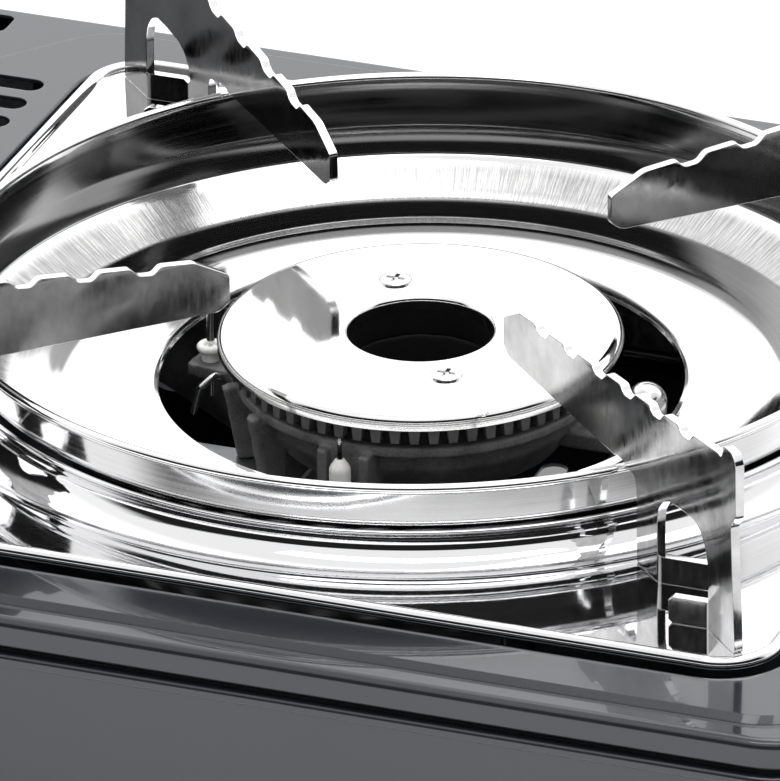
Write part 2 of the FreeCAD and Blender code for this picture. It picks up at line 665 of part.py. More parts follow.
def burner_body():
    """Rough aluminium casting: ring chamber, air passage, riser, mixing tube, lugs and fin."""
    core = CORE_R - CAST_WALL + 1
    chamber = turn([
        (core, CHAMBER_Z), (CHAMBER_R - 6, CHAMBER_Z), (CHAMBER_R, CHAMBER_Z + 8),
        (CHAMBER_R, RIM_Z - RIM_H - 1.5), (RIM_R, RIM_Z - RIM_H), (RIM_R, RIM_Z), (core, RIM_Z)])
    room = turn([
        (CORE_R, CHAMBER_Z + CAST_WALL), (CHAMBER_R - CAST_WALL - 5, CHAMBER_Z + CAST_WALL),
        (CHAMBER_R - CAST_WALL, CHAMBER_Z + 9), (CHAMBER_R - CAST_WALL, RIM_Z + 1), (CORE_R, RIM_Z + 1)])
    burner = V(BURNER_X, BURNER_Y, TUBE_Z)
    out = tube_way() * -1
    root = burner + out * RISER_AT
    length = V(JET_X - BURNER_X, JET_Y - BURNER_Y, 0).Length
    inlet = burner + out * (length - INLET_GAP - 15)
    tube = rod(TUBE_R, root, inlet)
    flare = Part.makeCone(TUBE_R, TUBE_R + 3, 10, inlet - out * 10, out)
    riser = post(TUBE_R + 1, TUBE_Z - TUBE_R, CHAMBER_Z + CAST_WALL, root.x, root.y)
    bosses = []
    holes = []
    for az in (SCREW_AZ, SCREW_AZ + 180):
        x, y = on_burner(SCREW_R, az)
        bosses.append(post(BOSS_R, CHAMBER_Z + 1, RIM_Z, x, y))
        holes.append(post(SCREW_SHANK + RUN, RIM_Z - 12, RIM_Z + 1, x, y))
    solids = [chamber, tube, flare, riser, spark_ear(), stud_ear(), probe_ear()]
    solids += [turned(fin(), az) for az in FIN_AZ]
    cast = join(solids)
    bore = rod(TUBE_BORE, root, inlet + out * 2)
    mouth = Part.makeCone(TUBE_BORE, TUBE_BORE + 3, 8, inlet - out * 8, out)
    rise = post(TUBE_BORE, TUBE_Z, CHAMBER_Z + CAST_WALL + 1, root.x, root.y)
    cast = cast.cut([room, bore, mouth, rise])
    return join([cast] + bosses).cut(holes + [post(core, TUBE_Z - 8, RIM_Z + 1, BURNER_X, BURNER_Y)])


def ear(r0, r1, width, z0, z1):
    """Block that stands out from the chamber towards +X."""
    return box(BURNER_X + r0, BURNER_X + r1, BURNER_Y - width / 2, BURNER_Y + width / 2, z0, z1)


def spark_ear():
    """Block with two cheeks round the ceramic sleeve, and the foot that is screwed to the rear post."""
    low = SPARK_EAR - EAR_T
    lug = ear(CHAMBER_R - 4, SPARK_R - 3.0, EAR_W, low + 2, RIM_Z - 0.8)
    foot = ear(CHAMBER_R - 10, BRACKET_R + 5, EAR_W, low, SPARK_EAR)
    root = ear(CHAMBER_R - 10, CHAMBER_R - 2, EAR_W, low, EAR_TOP)
    cheeks = []
    for s in (-1, 1):
        cheek = ear(SPARK_R - 4, SPARK_R - 0.8, CHEEK_T, low + 2, RIM_Z - 2.0)
        cheek.translate(V(0, s * (EAR_W - CHEEK_T) / 2, 0))
        cheeks.append(cheek)
    sleeve_hole = post(SLEEVE_R + FIT, low - 2, SPARK_EAR + 2, BURNER_X + SPARK_R, BURNER_Y)
    screw_hole = post(EAR_SCREW_R + FIT, low - 2, SPARK_EAR + 2, BURNER_X + BRACKET_R, BURNER_Y)
    return turned(join([lug, foot, root] + cheeks).cut([sleeve_hole, screw_hole]), SPARK_AZ)


def stud_ear():
    block = ear(CHAMBER_R - 3, STUD_R + 5, EAR_W, EAR_TOP - EAR_T, EAR_TOP)
    hole = post(STUD_SHANK + FIT, EAR_TOP - EAR_T - 2, EAR_TOP + 2, BURNER_X + STUD_R, BURNER_Y)
    return turned(block.cut(hole), STUD_AZ)


def probe_ear():
    block = ear(CHAMBER_R - 3, PROBE_R + 4, 8.0, PROBE_SEAT - 3, PROBE_SEAT)
    hole = post(PROBE_PIN_R + 0.6, PROBE_SEAT - 5, PROBE_SEAT + 2, BURNER_X + PROBE_R, BURNER_Y)
    return turned(block.cut(hole), PROBE_AZ)


def fin():
    """Leaning rib on the chamber's side."""
    x = BURNER_X + CHAMBER_R
    low = HEAT_Z + HEAT_T
    top = RIM_Z - 0.7
    outline = [(x - 2, low), (x + 3.5, low), (x + 6.5, top - 1), (x + 5.5, top), (x - 2, top)]
    return plate_xz(outline, BURNER_Y - 1.6, BURNER_Y + 1.6)


def air_shutter():
    """Sheet sleeve on the mixing tube that trims the air."""
    out = tube_way() * -1
    burner = V(BURNER_X, BURNER_Y, TUBE_Z)
    a = burner + out * SHUTTER_AT
    b = burner + out * (SHUTTER_AT + SHUTTER_L)
    return rod(TUBE_R + 1.0, a, b).cut(rod(TUBE_R + RUN, a - out, b + out))


def burner_posts():
    """Two bent posts that carry the burner on the floor."""
    out = []
    posts = ((STUD_R, STUD_AZ, EAR_TOP - EAR_T), (BRACKET_R, SPARK_AZ, SPARK_EAR - EAR_T))
    for r, az, top in posts:
        head = ear(r - 6, r + 8, POST_W, top - POST_T, top)
        wall = ear(r + 8 - POST_T, r + 8, POST_W, FLOOR_Z, top)
        foot = ear(r + POST_FOOT - 10, r + POST_FOOT + 4, POST_W, FLOOR_Z, FLOOR_Z + POST_T)
        item = join([head, wall, foot])
        hole = post(STUD_SHANK + FIT, top - 3, top + 2, BURNER_X + r, BURNER_Y)
        thread = post(FLOOR_SCREW_R + RUN, FLOOR_Z - 1, FLOOR_Z + 3, BURNER_X + r + POST_FOOT, BURNER_Y)
        out.append(turned(item.cut([hole, thread]), az))
    return Part.makeCompound(out)


def dome_nut():
    """Stud and domed nut that clamp the burner's left ear to its post."""
    x, y = on_burner(STUD_R, STUD_AZ)
    post_low = EAR_TOP - EAR_T - POST_T
    dome_z = EAR_TOP + 6.7
    stud = post(STUD_SHANK, post_low - 2.4, dome_z - 2.7, x, y)
    skirt = post(DOME_R, EAR_TOP, dome_z, x, y)
    dome = Part.makeSphere(DOME_R, V(x, y, dome_z))
    head = post(DOME_R - 0.8, post_low - 2.5, post_low - FIT, x, y)
    return join([stud, skirt, dome, head])


def ear_screw():
    x, y = on_burner(BRACKET_R, SPARK_AZ)
    top = SPARK_EAR + 2.0
    head = post(2 * EAR_SCREW_R, SPARK_EAR, top, x, y)
    head = head.makeFillet(0.7, edges_at(head, top))
    return head.fuse(post(EAR_SCREW_R, SPARK_EAR - 10, SPARK_EAR, x, y))


def port_ring():
    """Crown with the flame ports: a plate, an outer wall and teeth that hang round it."""
    top = CAP_TOP - CAP_BAND - 0.1
    body = turn([
        (CORE_R - 2, RIM_Z), (CORE_R + 0.5, RIM_Z), (CORE_R + 0.5, top - 1.5), (PORT_R - 4.8, top - 1.5),
        (PORT_R - 4.8, RIM_Z), (PORT_R - 3.0, RIM_Z), (PORT_R - 3.0, top - 1.5), (PORT_R, top - 1.0),
        (PORT_R, top), (CORE_R - 2, top)])
    step = 360.0 / PORT_N
    tooth = Part.makeLoft([
        tooth_outline(PORT_LOW, 0.75), tooth_outline(top - 0.5, 1.1)], True, True)
    solids = [body]
    for i in range(PORT_N):
        solids.append(turned(tooth, i * step))
    crown = solids[0].fuse(solids[1:])
    stands = []
    holes = []
    for az in (SCREW_AZ, SCREW_AZ + 180):
        x, y = on_burner(SCREW_R, az)
        stands.append(post(BOSS_R, top - 1, CAP_TOP - CAP_T, x, y))
        holes.append(post(SCREW_SHANK + FIT, RIM_Z - 5, CAP_TOP + 1, x, y))
    return crown.fuse(stands).cut(holes)


def tooth_outline(z, half):
    inner = BURNER_X + PORT_R - 2.6
    outer = BURNER_X + PORT_R
    points = [V(inner, BURNER_Y - half, z), V(outer, BURNER_Y - half, z), V(outer, BURNER_Y + half, z),
              V(inner, BURNER_Y + half, z)]
    return Part.makePolygon(points + points[:1])


def burner_cap():
    """Pressed stainless cap with a rolled hole in the middle."""
    disc = post(CAP_R, CAP_TOP - CAP_BAND, CAP_TOP, BURNER_X, BURNER_Y)
    disc = disc.makeFillet(1.3, edges_at(disc, CAP_TOP))
    under = post(CAP_R - CAP_T, CAP_TOP - CAP_BAND - 1, CAP_TOP - CAP_T, BURNER_X, BURNER_Y)
    cap = disc.cut(under)
    lip_r = CAP_HOLE_R + 1.2
    cap = cap.cut(post(lip_r, CAP_TOP - 5, CAP_TOP + 1, BURNER_X, BURNER_Y))
    lip = post(lip_r, CAP_TOP - CAP_BAND, CAP_TOP, BURNER_X, BURNER_Y)
    lip = lip.cut(post(CAP_HOLE_R, CAP_TOP - CAP_BAND - 1, CAP_TOP + 1, BURNER_X, BURNER_Y))
    inner = [e for e in edges_at(lip, CAP_TOP) if e.BoundBox.XMax < BURNER_X + CAP_HOLE_R + 0.1]
    cap = cap.fuse(lip.makeFillet(0.9, inner))
    holes = []
    for az in (SCREW_AZ, SCREW_AZ + 180):
        x, y = on_burner(SCREW_R, az)
        holes.append(post(SCREW_SHANK + FIT, CAP_TOP - 3, CAP_TOP + 1, x, y))
    return cap.cut(holes)


def cap_screws():
    out = []
    for az in (SCREW_AZ, SCREW_AZ + 180):
        x, y = on_burner(SCREW_R, az)
        head = post(3.5, CAP_TOP, CAP_TOP + 1.5, x, y)
        head = head.makeFillet(0.9, edges_at(head, CAP_TOP + 1.5))
        cross = box(x - 2.0, x + 2.0, y - 0.45, y + 0.45, CAP_TOP + 0.5, CAP_TOP + 3)
        other = turned(cross, 90, x, y)
        shank = post(SCREW_SHANK, RIM_Z - 9, CAP_TOP, x, y)
        out.append(head.cut([cross, other]).fuse(shank))
    return Part.makeCompound(out)


def spark_insulator():
    """White ceramic sleeve with a coned top."""
    x, y = on_burner(SPARK_R, SPARK_AZ)
    r = SLEEVE_R
    cone_z = SLEEVE_TOP - 2.4
    body = turn([(NEEDLE_R, SLEEVE_LOW), (r, SLEEVE_LOW), (r, cone_z), (NEEDLE_R + 0.3, SLEEVE_TOP),
                 (NEEDLE_R, SLEEVE_TOP)], x, y)
    z0 = SPARK_EAR + FIT
    collar = turn([(r - 0.1, z0), (r + 0.45, z0), (r + 0.45, z0 + 1.5), (r - 0.1, z0 + 1.5)], x, y)
    return body.fuse(collar)


def spark_electrode():
    x, y = on_burner(SPARK_R, SPARK_AZ)
    return post(NEEDLE_R, NEEDLE_LOW, NEEDLE_TOP, x, y)


def igniter_lead():
    """Sleeved lead on the floor, from the spark generator to the foot of the ceramic sleeve."""
    x, y = on_burner(SPARK_R, SPARK_AZ)
    start_y = PIEZO_Y + PIEZO_HALF + 4
    points = [
        (PIEZO_X, start_y, LEAD_Z), (PIEZO_X, start_y + 21, LEAD_Z), (DIVIDER_X, LEAD_CROSS_Y - 0.7, LEAD_Z),
        (70.0, -50.0, LEAD_Z), (44.0, -8.0, LEAD_Z), (26.0, 42.0, LEAD_Z), (-8.0, 70.0, LEAD_Z),
        (x + 6.0, y + 8.0, LEAD_Z + 6), (x, y, LEAD_Z + 18), (x, y, NEEDLE_LOW)]
    return lead_tube(points)


def lead_tube(points):
    """Round lead along runs joined by arcs as large as the shorter run allows."""
    pts = [V(*p) for p in points]
    edges = []
    start = pts[0]
    for i in range(1, len(pts) - 1):
        back = pts[i - 1] - pts[i]
        ahead = pts[i + 1] - pts[i]
        cut = 0.45 * min(back.Length, ahead.Length)
        back.normalize()
        ahead.normalize()
        half = math.acos(max(-1.0, min(1.0, back.dot(ahead)))) / 2
        bend = cut * math.tan(half)
        a = pts[i] + back * cut
        b = pts[i] + ahead * cut
        m = pts[i] + (back + ahead).normalize() * (bend / math.sin(half) - bend)
        print("lead bend radius %.1f mm" % bend)
        edges.append(Part.LineSegment(start, a).toShape())
        edges.append(Part.Arc(a, m, b).toShape())
        start = b
    edges.append(Part.LineSegment(start, pts[-1]).toShape())
    path = Part.Wire(edges)
    ring = Part.Wire([Part.makeCircle(LEAD_R, pts[0], pts[1] - pts[0])])
    tube = path.makePipeShell([ring], True, False)
    print("lead volume / (section x length): %.4f" % (tube.Volume / (math.pi * LEAD_R ** 2 * path.Length)))
    return tube


def probe_pin():
    """Thin rod with a thicker bright sleeve at its top."""
    x, y = on_burner(PROBE_R, PROBE_AZ)
    rod_low = post(PROBE_PIN_R, PROBE_SEAT - 8.5, PROBE_SEAT + 5.5, x, y)
    sleeve = post(PROBE_PIN_R + 0.4, PROBE_SEAT + 4.5, PROBE_SEAT + 11.9, x, y)
    return join([rod_low, sleeve])


def probe_collar():
    """White ceramic ring that seats the rod on its ear."""
    x, y = on_burner(PROBE_R, PROBE_AZ)
    bore = PROBE_PIN_R + RUN
    ring_z = PROBE_SEAT + 2.9
    ring = Part.makeTorus(2.1, 0.9, V(x, y, ring_z))
    stem = turn([(bore, PROBE_SEAT), (2.0, PROBE_SEAT), (2.0, ring_z), (bore, ring_z)], x, y)
    return ring.fuse(stem)


def probe_clip():
    """Small hooked wire beside the rod."""
    x, y = on_burner(PROBE_R - 2.0, PROBE_AZ + 9)
    z = PROBE_SEAT
    points = [
        (x - 2.0, y - 2.95, z - 1.3), (x - 2.0, y, z + 0.3), (x + 0.6, y + 2.2, z - 2.1),
        (x + 2.0, y + 2.6, z - 8.0)]
    return bent_rod(points, CLIP_R, 1.2)


def drip_tray():
    """Chromed square tray: rolled edge, flat, and a collar that flares up round the wind guard."""
    inner = COLLAR_R
    flat = square(TRAY_HALF - ROLL_R, TRAY_R - ROLL_R, TRAY_TOP - CHROME, TRAY_TOP)
    foot_r = inner + COLLAR_FLARE
    flat = flat.cut(post(foot_r, TRAY_TOP - 5, TRAY_TOP + 5, BURNER_X, BURNER_Y))
    low = TRAY_TOP - CHROME
    arc_z = low + COLLAR_FLARE
    small = COLLAR_FLARE - CHROME
    corner = math.sqrt(0.5)

    def at(r, z):
        return V(BURNER_X + r, BURNER_Y, z)
    outer_arc = Part.Arc(
        at(foot_r, low), at(foot_r - COLLAR_FLARE * corner, arc_z - COLLAR_FLARE * corner), at(inner, arc_z))
    inner_arc = Part.Arc(
        at(inner + CHROME, arc_z), at(foot_r - small * corner, arc_z - small * corner), at(foot_r, TRAY_TOP))
    hem = inner + COLLAR_HEM
    wall = inner + CHROME
    corners = [(inner, arc_z), (inner, COLLAR_TOP), (hem, COLLAR_TOP), (hem, COLLAR_TOP - HEM_H),
               (wall, COLLAR_TOP - 1.5 * HEM_H), (wall, arc_z)]
    edges = [outer_arc.toShape()]
    for a, b in zip(corners, corners[1:]):
        edges.append(Part.LineSegment(at(*a), at(*b)).toShape())
    edges += [inner_arc.toShape(), Part.LineSegment(at(foot_r, TRAY_TOP), at(foot_r, low)).toShape()]
    collar = Part.Face(Part.Wire(edges)).revolve(at(0, 0), V(0, 0, 1), 360)
    return join([flat, collar] + edge_roll())


def edge_roll():
    """The tray's rolled edge: four straight rods and four quarter rings."""
    half = TRAY_HALF - ROLL_R
    bend = TRAY_R - ROLL_R
    run = half - bend
    solids = []
    for i in range(4):
        y = BURNER_Y - half
        side = rod(ROLL_R, V(BURNER_X - run, y, TRAY_TOP), V(BURNER_X + run, y, TRAY_TOP))
        corner = V(BURNER_X + run, BURNER_Y - run, TRAY_TOP)
        ring = Part.makeTorus(bend, ROLL_R, corner, V(0, 0, 1), -180, 180, 90)
        ring.rotate(corner, V(0, 0, 1), -90)
        solids.append(turned(side, 90 * i))
        solids.append(turned(ring, 90 * i))
    return solids


def wind_guard():
    """Chromed ring with a rolled rim and a bowl that slopes in to the burner's opening."""
    r_out = GUARD_R + CHROME
    slope = [(0.041, 0.0), (0.10, 0.2), (0.215, 1.0), (0.33, 1.5), (0.443, 1.0), (0.558, 0.5), (0.663, 0.9),
             (0.695, 1.4)]
    bowl = [(BOWL_OPEN_R, BOWL_Z + 0.3)]
    bowl += [(BOWL_OPEN_R + share * BOWL_W, BOWL_Z + rise) for share, rise in slope]
    bend = BOWL_Z + BOWL_H
    upper = [(GUARD_R, bend), (GUARD_R - 0.45, bend - 1.4)] + bowl[::-1]
    lower = [(BOWL_OPEN_R, bowl[0][1] - CHROME)] + [(r + 0.15, z - CHROME) for r, z in bowl[1:]]
    lower += [(GUARD_R - 0.05, bend - 2.0), (r_out, bend - 0.8)]
    rim_z = GUARD_TOP - GUARD_ROLL
    shell = turn([(r_out, rim_z), (GUARD_R, rim_z)] + upper + lower)
    roll = Part.makeTorus(GUARD_R + GUARD_ROLL, GUARD_ROLL, V(BURNER_X, BURNER_Y, rim_z))
    return join([shell, roll])


def leg_edge(r):
    return LEG_FIRST + LEG_RISE * (r - LEG_TIP_R - 9.4)


def leg_teeth():
    """Toothed upper edge from the blade's tip to its head."""
    first = LEG_TIP_R + TOOTH_IN
    points = [(LEG_TIP_R, LEG_LOW + 1.6), (LEG_TIP_R, LEG_LOW + 1.4 + LEG_TIP_H), (first, LEG_FIRST - 0.1)]
    for i in range(TOOTH_N):
        r = first + i * TOOTH_PITCH
        points.append((r + TOOTH_PITCH * 0.507, leg_edge(r + 7.0)))
        points.append((r + TOOTH_PITCH * 0.623, leg_edge(r + 8.6) - TOOTH_DEEP))
        points.append((r + TOOTH_PITCH * 0.87, leg_edge(r + 12.0) - TOOTH_DEEP))
        points.append((r + TOOTH_PITCH, leg_edge(r + TOOTH_PITCH)))
    return points


def leg_head():
    """Outer post's head, down to its foot."""
    crest = LEG_OUT_R - 1.5 - CREST_W
    return [
        (crest - 2.4, leg_edge(crest - 2.4)), (crest - 1.2, leg_edge(crest - 1.2) - 0.6), (crest, LEG_TOP),
        (LEG_OUT_R - 1.5, LEG_TOP), (LEG_OUT_R, LEG_TOP - 2.0), (LEG_OUT_R, HEAD_LOW),
        (LEG_OUT_R - 2.3, HEAD_LOW - 2.8), (LEG_END_R, TRAY_TOP)]


def leg_underside():
    """Inner post, the hook that grips the guard's rim, and the blade's lower edge."""
    rim = GUARD_R + GUARD_ROLL
    step = GUARD_TOP + 1.5
    return [
        (LEG_FOOT_R, TRAY_TOP), (LEG_FOOT_R, GUARD_TOP - 1.7), (LEG_FOOT_R - 1.1, GUARD_TOP + 0.5),
        (rim + 3.95, GUARD_TOP + 0.5), (rim + 2.45, GUARD_TOP - 0.3), (rim + 2.15, step), (rim - 1.85, step),
        (rim - 2.25, LEG_LOW), (LEG_TIP_R + 2.6, LEG_LOW - 0.2)]


def leg_window():
    """Arched window between the two posts."""
    top = WIN_TOP
    left = [(WIN_IN_R, TRAY_TOP - 1), (WIN_IN_R, WIN_SIDE), (WIN_IN_R + 0.8, top - 4.8),
            (WIN_IN_R + 2.9, top - 2.4), (WIN_IN_R + 6.1, top - 1.0)]
    right = [(WIN_OUT_R - 11.4, top - 0.2), (WIN_OUT_R - 6.4, top), (WIN_OUT_R - 3.4, top - 1.4),
             (WIN_OUT_R - 1.2, top - 4.0), (WIN_OUT_R, WIN_SIDE), (WIN_OUT_R, TRAY_TOP - 1)]
    return left + right


def pan_support():
    """One upright blade, drawn in the plane through the burner's axis."""
    outline = [(BURNER_X + r, z) for r, z in leg_teeth() + leg_head() + leg_underside()]
    blade = plate_xz(outline, BURNER_Y - LEG_T / 2, BURNER_Y + LEG_T / 2)
    gap = plate_xz([(BURNER_X + r, z) for r, z in leg_window()], BURNER_Y - LEG_T, BURNER_Y + LEG_T)
    inner_tab = flap(WIN_IN_R - 0.2, 45, FLAP_IN)
    outer_tab = flap(WIN_OUT_R + 0.2, 225, FLAP_OUT)
    return join([blade.cut(gap), inner_tab, outer_tab])


def flap(r, degrees, length):
    """Foot tab at the window, folded half way out of the blade's plane."""
    tab = box(-0.4, length, -LEG_T / 2, LEG_T / 2, TRAY_TOP, TRAY_TOP + FLAP_H)
    tab = tab.makeFillet(0.9, [e for e in upright_edges(tab) if e.BoundBox.XMin > length - 0.1])
    tab.rotate(V(0, 0, 0), V(0, 0, 1), degrees)
    tab.translate(V(BURNER_X + r, BURNER_Y, 0))
    return tab


def lid_profile(inset):
    """Section of the lid across the body, as an outline in X and Z; inset takes the sheet off."""
    x0 = LID_X + LID_GAP + inset
    x1 = RIGHT_X - inset
    top = LID_TOP - inset
    low = DECK_Z - 4.7 - (5 if inset else 0)
    foot = LOW_WALL + 2.0 - (5 if inset else 0)
    r0 = LID_R - inset
    r1 = LID_R_OUT - inset
    c = 1 - math.sqrt(0.5)

    def at(x, z):
        return V(x, 0, z)
    edges = [
        Part.LineSegment(at(x0, low), at(x0, top - r0)).toShape(),
        Part.Arc(at(x0, top - r0), at(x0 + r0 * c, top - r0 * c), at(x0 + r0, top)).toShape(),
        Part.LineSegment(at(x0 + r0, top), at(x1 - r1, top)).toShape(),
        Part.Arc(at(x1 - r1, top), at(x1 - r1 * c, top - r1 * c), at(x1, top - r1)).toShape(),
        Part.LineSegment(at(x1, top - r1), at(x1, foot)).toShape(),
        Part.LineSegment(at(x1, foot), at(x1 - LID_FLANGE, foot)).toShape(),
        Part.LineSegment(at(x1 - LID_FLANGE, foot), at(x1 - LID_FLANGE, low)).toShape(),
        Part.LineSegment(at(x1 - LID_FLANGE, low), at(x0, low)).toShape(),
    ]
    return Part.Face(Part.Wire(edges))


def cartridge_lid():
    """Cover of the cartridge bay: top, side wall and shallow ends, with two hinge knuckles."""
    y0 = LID_Y0 + LID_GAP
    y1 = LID_Y1 - LID_GAP
    outer = lid_profile(0)
    outer.translate(V(0, y0, 0))
    outer = outer.extrude(V(0, y1 - y0, 0))
    inner = lid_profile(SHEET)
    inner.translate(V(0, y0 + SHEET, 0))
    inner = inner.extrude(V(0, y1 - y0 - 2 * SHEET, 0))
    clear = box(RIGHT_X - LID_FLANGE - 3, RIGHT_X - SHEET, y0 + SHEET, y1 - SHEET, 5, DECK_Z)
    lid = outer.cut([inner, clear])
    for y in HINGE_AT:
        lid = lid.fuse(hinge_knuckle(y - KNUCKLE_W / 2, y + KNUCKLE_W / 2))
    return lid.cut([hinge_rod(HINGE_R + RUN, y, KNUCKLE_W / 2 + 2) for y in HINGE_AT])


def hinge_knuckle(y0, y1):
    barrel = rod(2.7, V(HINGE_X, y0, HINGE_Z), V(HINGE_X, y1, HINGE_Z))
    tongue = box(RIGHT_X - SHEET, RIGHT_X, y0, y1, HINGE_Z, LOW_WALL + 6)
    web = box(HINGE_X, RIGHT_X, y0, y1, HINGE_Z - 0.6, HINGE_Z + 1.5)
    return join([barrel, tongue, web])


def hinge_bracket():
    """Two riveted brackets inside the low wall; each holds a hinge pin by both ends."""
    out = []
    inner = KNUCKLE_W / 2 + EAR_GAP
    reach = inner + HINGE_EAR
    bore_x = HINGE_X - 4
    for y in HINGE_AT:
        pieces = [
            box(bore_x, HINGE_X + 1.0, y + inner, y + reach, HINGE_Z - 4.4, HINGE_Z + 3.0),
            box(bore_x, HINGE_X + 1.0, y - reach, y - inner, HINGE_Z - 4.4, HINGE_Z + 3.0),
            box(bore_x - 8, bore_x, y - reach, y + reach, FLOOR_Z, FLOOR_Z + 1.2),
            box(bore_x - 1.2, bore_x, y - reach, y + reach, FLOOR_Z, HINGE_Z + 3.0)]
        out.append(join(pieces).cut(hinge_rod(HINGE_R, y, reach + 5)))
    return Part.makeCompound(out)


def hinge_rod(r, y, half):
    return rod(r, V(HINGE_X, y - half, HINGE_Z), V(HINGE_X, y + half, HINGE_Z))


def hinge_pins():
    half = KNUCKLE_W / 2 + EAR_GAP + HINGE_EAR + 0.4
    return Part.makeCompound([hinge_rod(HINGE_R, y, half) for y in HINGE_AT])


def cradle_rails():
    """Two upright strips under the cartridge."""
    out = []
    half = RAIL_GAP / 2
    y0 = BULKHEAD_Y + 10
    y1 = PUSHER_Y - BAR_T - THROW - 2
    for s in (-1, 1):
        x = CAN_X + s * half
        top = CAN_Z - math.sqrt(CAN_R ** 2 - half ** 2) - 0.3
        web = box(x - 0.6, x + 0.6, y0, y1, FLOOR_Z, top)
        foot = box(min(x, x - s * 8), max(x, x - s * 8), y0, y1, FLOOR_Z, FLOOR_Z + 1.2)
        out.append(join([web, foot]))
    return Part.makeCompound(out)


def lock_lever():
    """Pressed lever: arm through the front slot, crank with its pin, and a tongue under the window."""
    up = LEVER_SWING / 2
    x0 = LEVER_X
    x1 = LEVER_X + LEVER_T
    hub = rod(6.0, V(x0, PIVOT_Y, PIVOT_Z), V(x1, PIVOT_Y, PIVOT_Z))
    arm = box(x0, x1, PIVOT_Y - LEVER_ARM, PIVOT_Y, PIVOT_Z - 4, PIVOT_Z + 4)
    crank = box(x0, x1, PIVOT_Y - 4, PIVOT_Y + 4, PIVOT_Z, PIVOT_Z + CRANK_R + 4)
    pin_z = PIVOT_Z + CRANK_R
    pin = rod(CRANK_PIN_R, V(x1 - 0.5, PIVOT_Y, pin_z), V(BAR_X + BAR_T + 0.4, PIVOT_Y, pin_z))
    far = PIVOT_Y - TONGUE_OFF - TONGUE_W
    near = PIVOT_Y - TONGUE_OFF
    tongue = box(x0, x1, far, near, PIVOT_Z, PIVOT_Z + TONGUE_H - 0.5)
    cap = box(x0 - 1.0, x1 + 5, far, near, PIVOT_Z + TONGUE_H - 1.5, PIVOT_Z + TONGUE_H)
    lever = join([hub, arm, crank, pin, tongue, cap])
    lever = lever.cut(rod(PIVOT_R + RUN, V(x0 - 1, PIVOT_Y, PIVOT_Z), V(x1 + 1, PIVOT_Y, PIVOT_Z)))
    lever.rotate(V(0, PIVOT_Y, PIVOT_Z), V(1, 0, 0), -up)
    return lever


def lever_handle():
    """Moulded tab on the lever's end, outside the front wall."""
    end = PIVOT_Y - LEVER_ARM
    tab = box(LEVER_X - 8, LEVER_X + 11, end - 2.4, end + 5, PIVOT_Z - 5, PIVOT_Z + 5)
    tab = tab.makeFillet(1.6, tab.Edges)
    tab = tab.cut(box(LEVER_X, LEVER_X + LEVER_T, end, end + 12, PIVOT_Z - 4, PIVOT_Z + 4))
    tab.rotate(V(0, PIVOT_Y, PIVOT_Z), V(1, 0, 0), -LEVER_SWING / 2)
    return tab


def lever_pivot():
    """Headed pin on the divider that the lever turns on."""
    x0 = DIVIDER_X + SHEET + 0.1
    x1 = LEVER_X + LEVER_T
    pin = rod(PIVOT_R, V(x0, PIVOT_Y, PIVOT_Z), V(x1 + 0.6, PIVOT_Y, PIVOT_Z))
    flange = rod(PIVOT_R + 2, V(x0, PIVOT_Y, PIVOT_Z), V(LEVER_X - 0.3, PIVOT_Y, PIVOT_Z))
    head = rod(PIVOT_R + 1.2, V(x1 + 0.3, PIVOT_Y, PIVOT_Z), V(x1 + 1.8, PIVOT_Y, PIVOT_Z))
    return join([pin, flange, head])


def pusher():
    """Sliding bar with an upright plate that presses on the cartridge's foot."""
    reach = CRANK_R * math.sin(math.radians(LEVER_SWING / 2))
    pin_y = PIVOT_Y + reach
    pin_z = PIVOT_Z + CRANK_R
    half = CRANK_PIN_R + 0.15
    low = FLOOR_Z + 2.4
    bar = box(BAR_X, BAR_X + BAR_T, pin_y + 6, PUSHER_Y, BAR_TOP - BAR_H, BAR_TOP)
    head = box(BAR_X, BAR_X + BAR_T, pin_y - 5, pin_y + 8, pin_z - 6.5, BAR_TOP)
    slot = box(BAR_X - 1, BAR_X + BAR_T + 1, pin_y - half, pin_y + half, pin_z - 4, pin_z + 3.6)
    drop = box(BAR_X, BAR_X + BAR_T, PUSHER_Y - 20, PUSHER_Y, low, BAR_TOP)
    plate = box(BAR_X, CAN_X + 12, PUSHER_Y - BAR_T, PUSHER_Y, low, BAR_TOP)
    return join([bar, head, drop, plate]).cut(slot)


def bar_guide():
    """Two loops on the divider that the bar slides through."""
    out = []
    x0 = DIVIDER_X + SHEET + 0.1
    x1 = BAR_X + BAR_T + 0.9
    low = BAR_TOP - BAR_H - GUIDE_GAP
    top = BAR_TOP + GUIDE_GAP
    for y in GUIDE_AT:
        lower = box(x0, x1, y - 4, y + 4, low - 1.6, low)
        upper = box(x0, x1, y - 4, y + 4, top, top + 1.6)
        back = box(x0, BAR_X - GUIDE_GAP, y - 4, y + 4, low - 1.6, top + 1.6)
        out.append(join([lower, upper, back]))
    return Part.makeCompound(out)


def lead_clips():
    out = []
    for x, y, angle in ((57.0, -29.0, 122.0), (9.5, 55.6, 140.0)):
        base = box(-6, 6, -3, 3, FLOOR_Z, FLOOR_Z + 1)
        cheeks = box(-4.0, 4.0, -3, 3, FLOOR_Z, LEAD_Z + 1.2)
        slot = rod(LEAD_R + 0.3, V(0, -5, LEAD_Z), V(0, 5, LEAD_Z))
        slot = slot.fuse(box(-0.8 * LEAD_R, 0.8 * LEAD_R, -5, 5, LEAD_Z, LEAD_Z + 5))
        clip = base.fuse(cheeks).cut(slot)
        clip.rotate(V(0, 0, 0), V(0, 0, 1), angle - 90)
        clip.translate(V(x, y, 0))
        out.append(clip.removeSplitter())
    return Part.makeCompound(out)


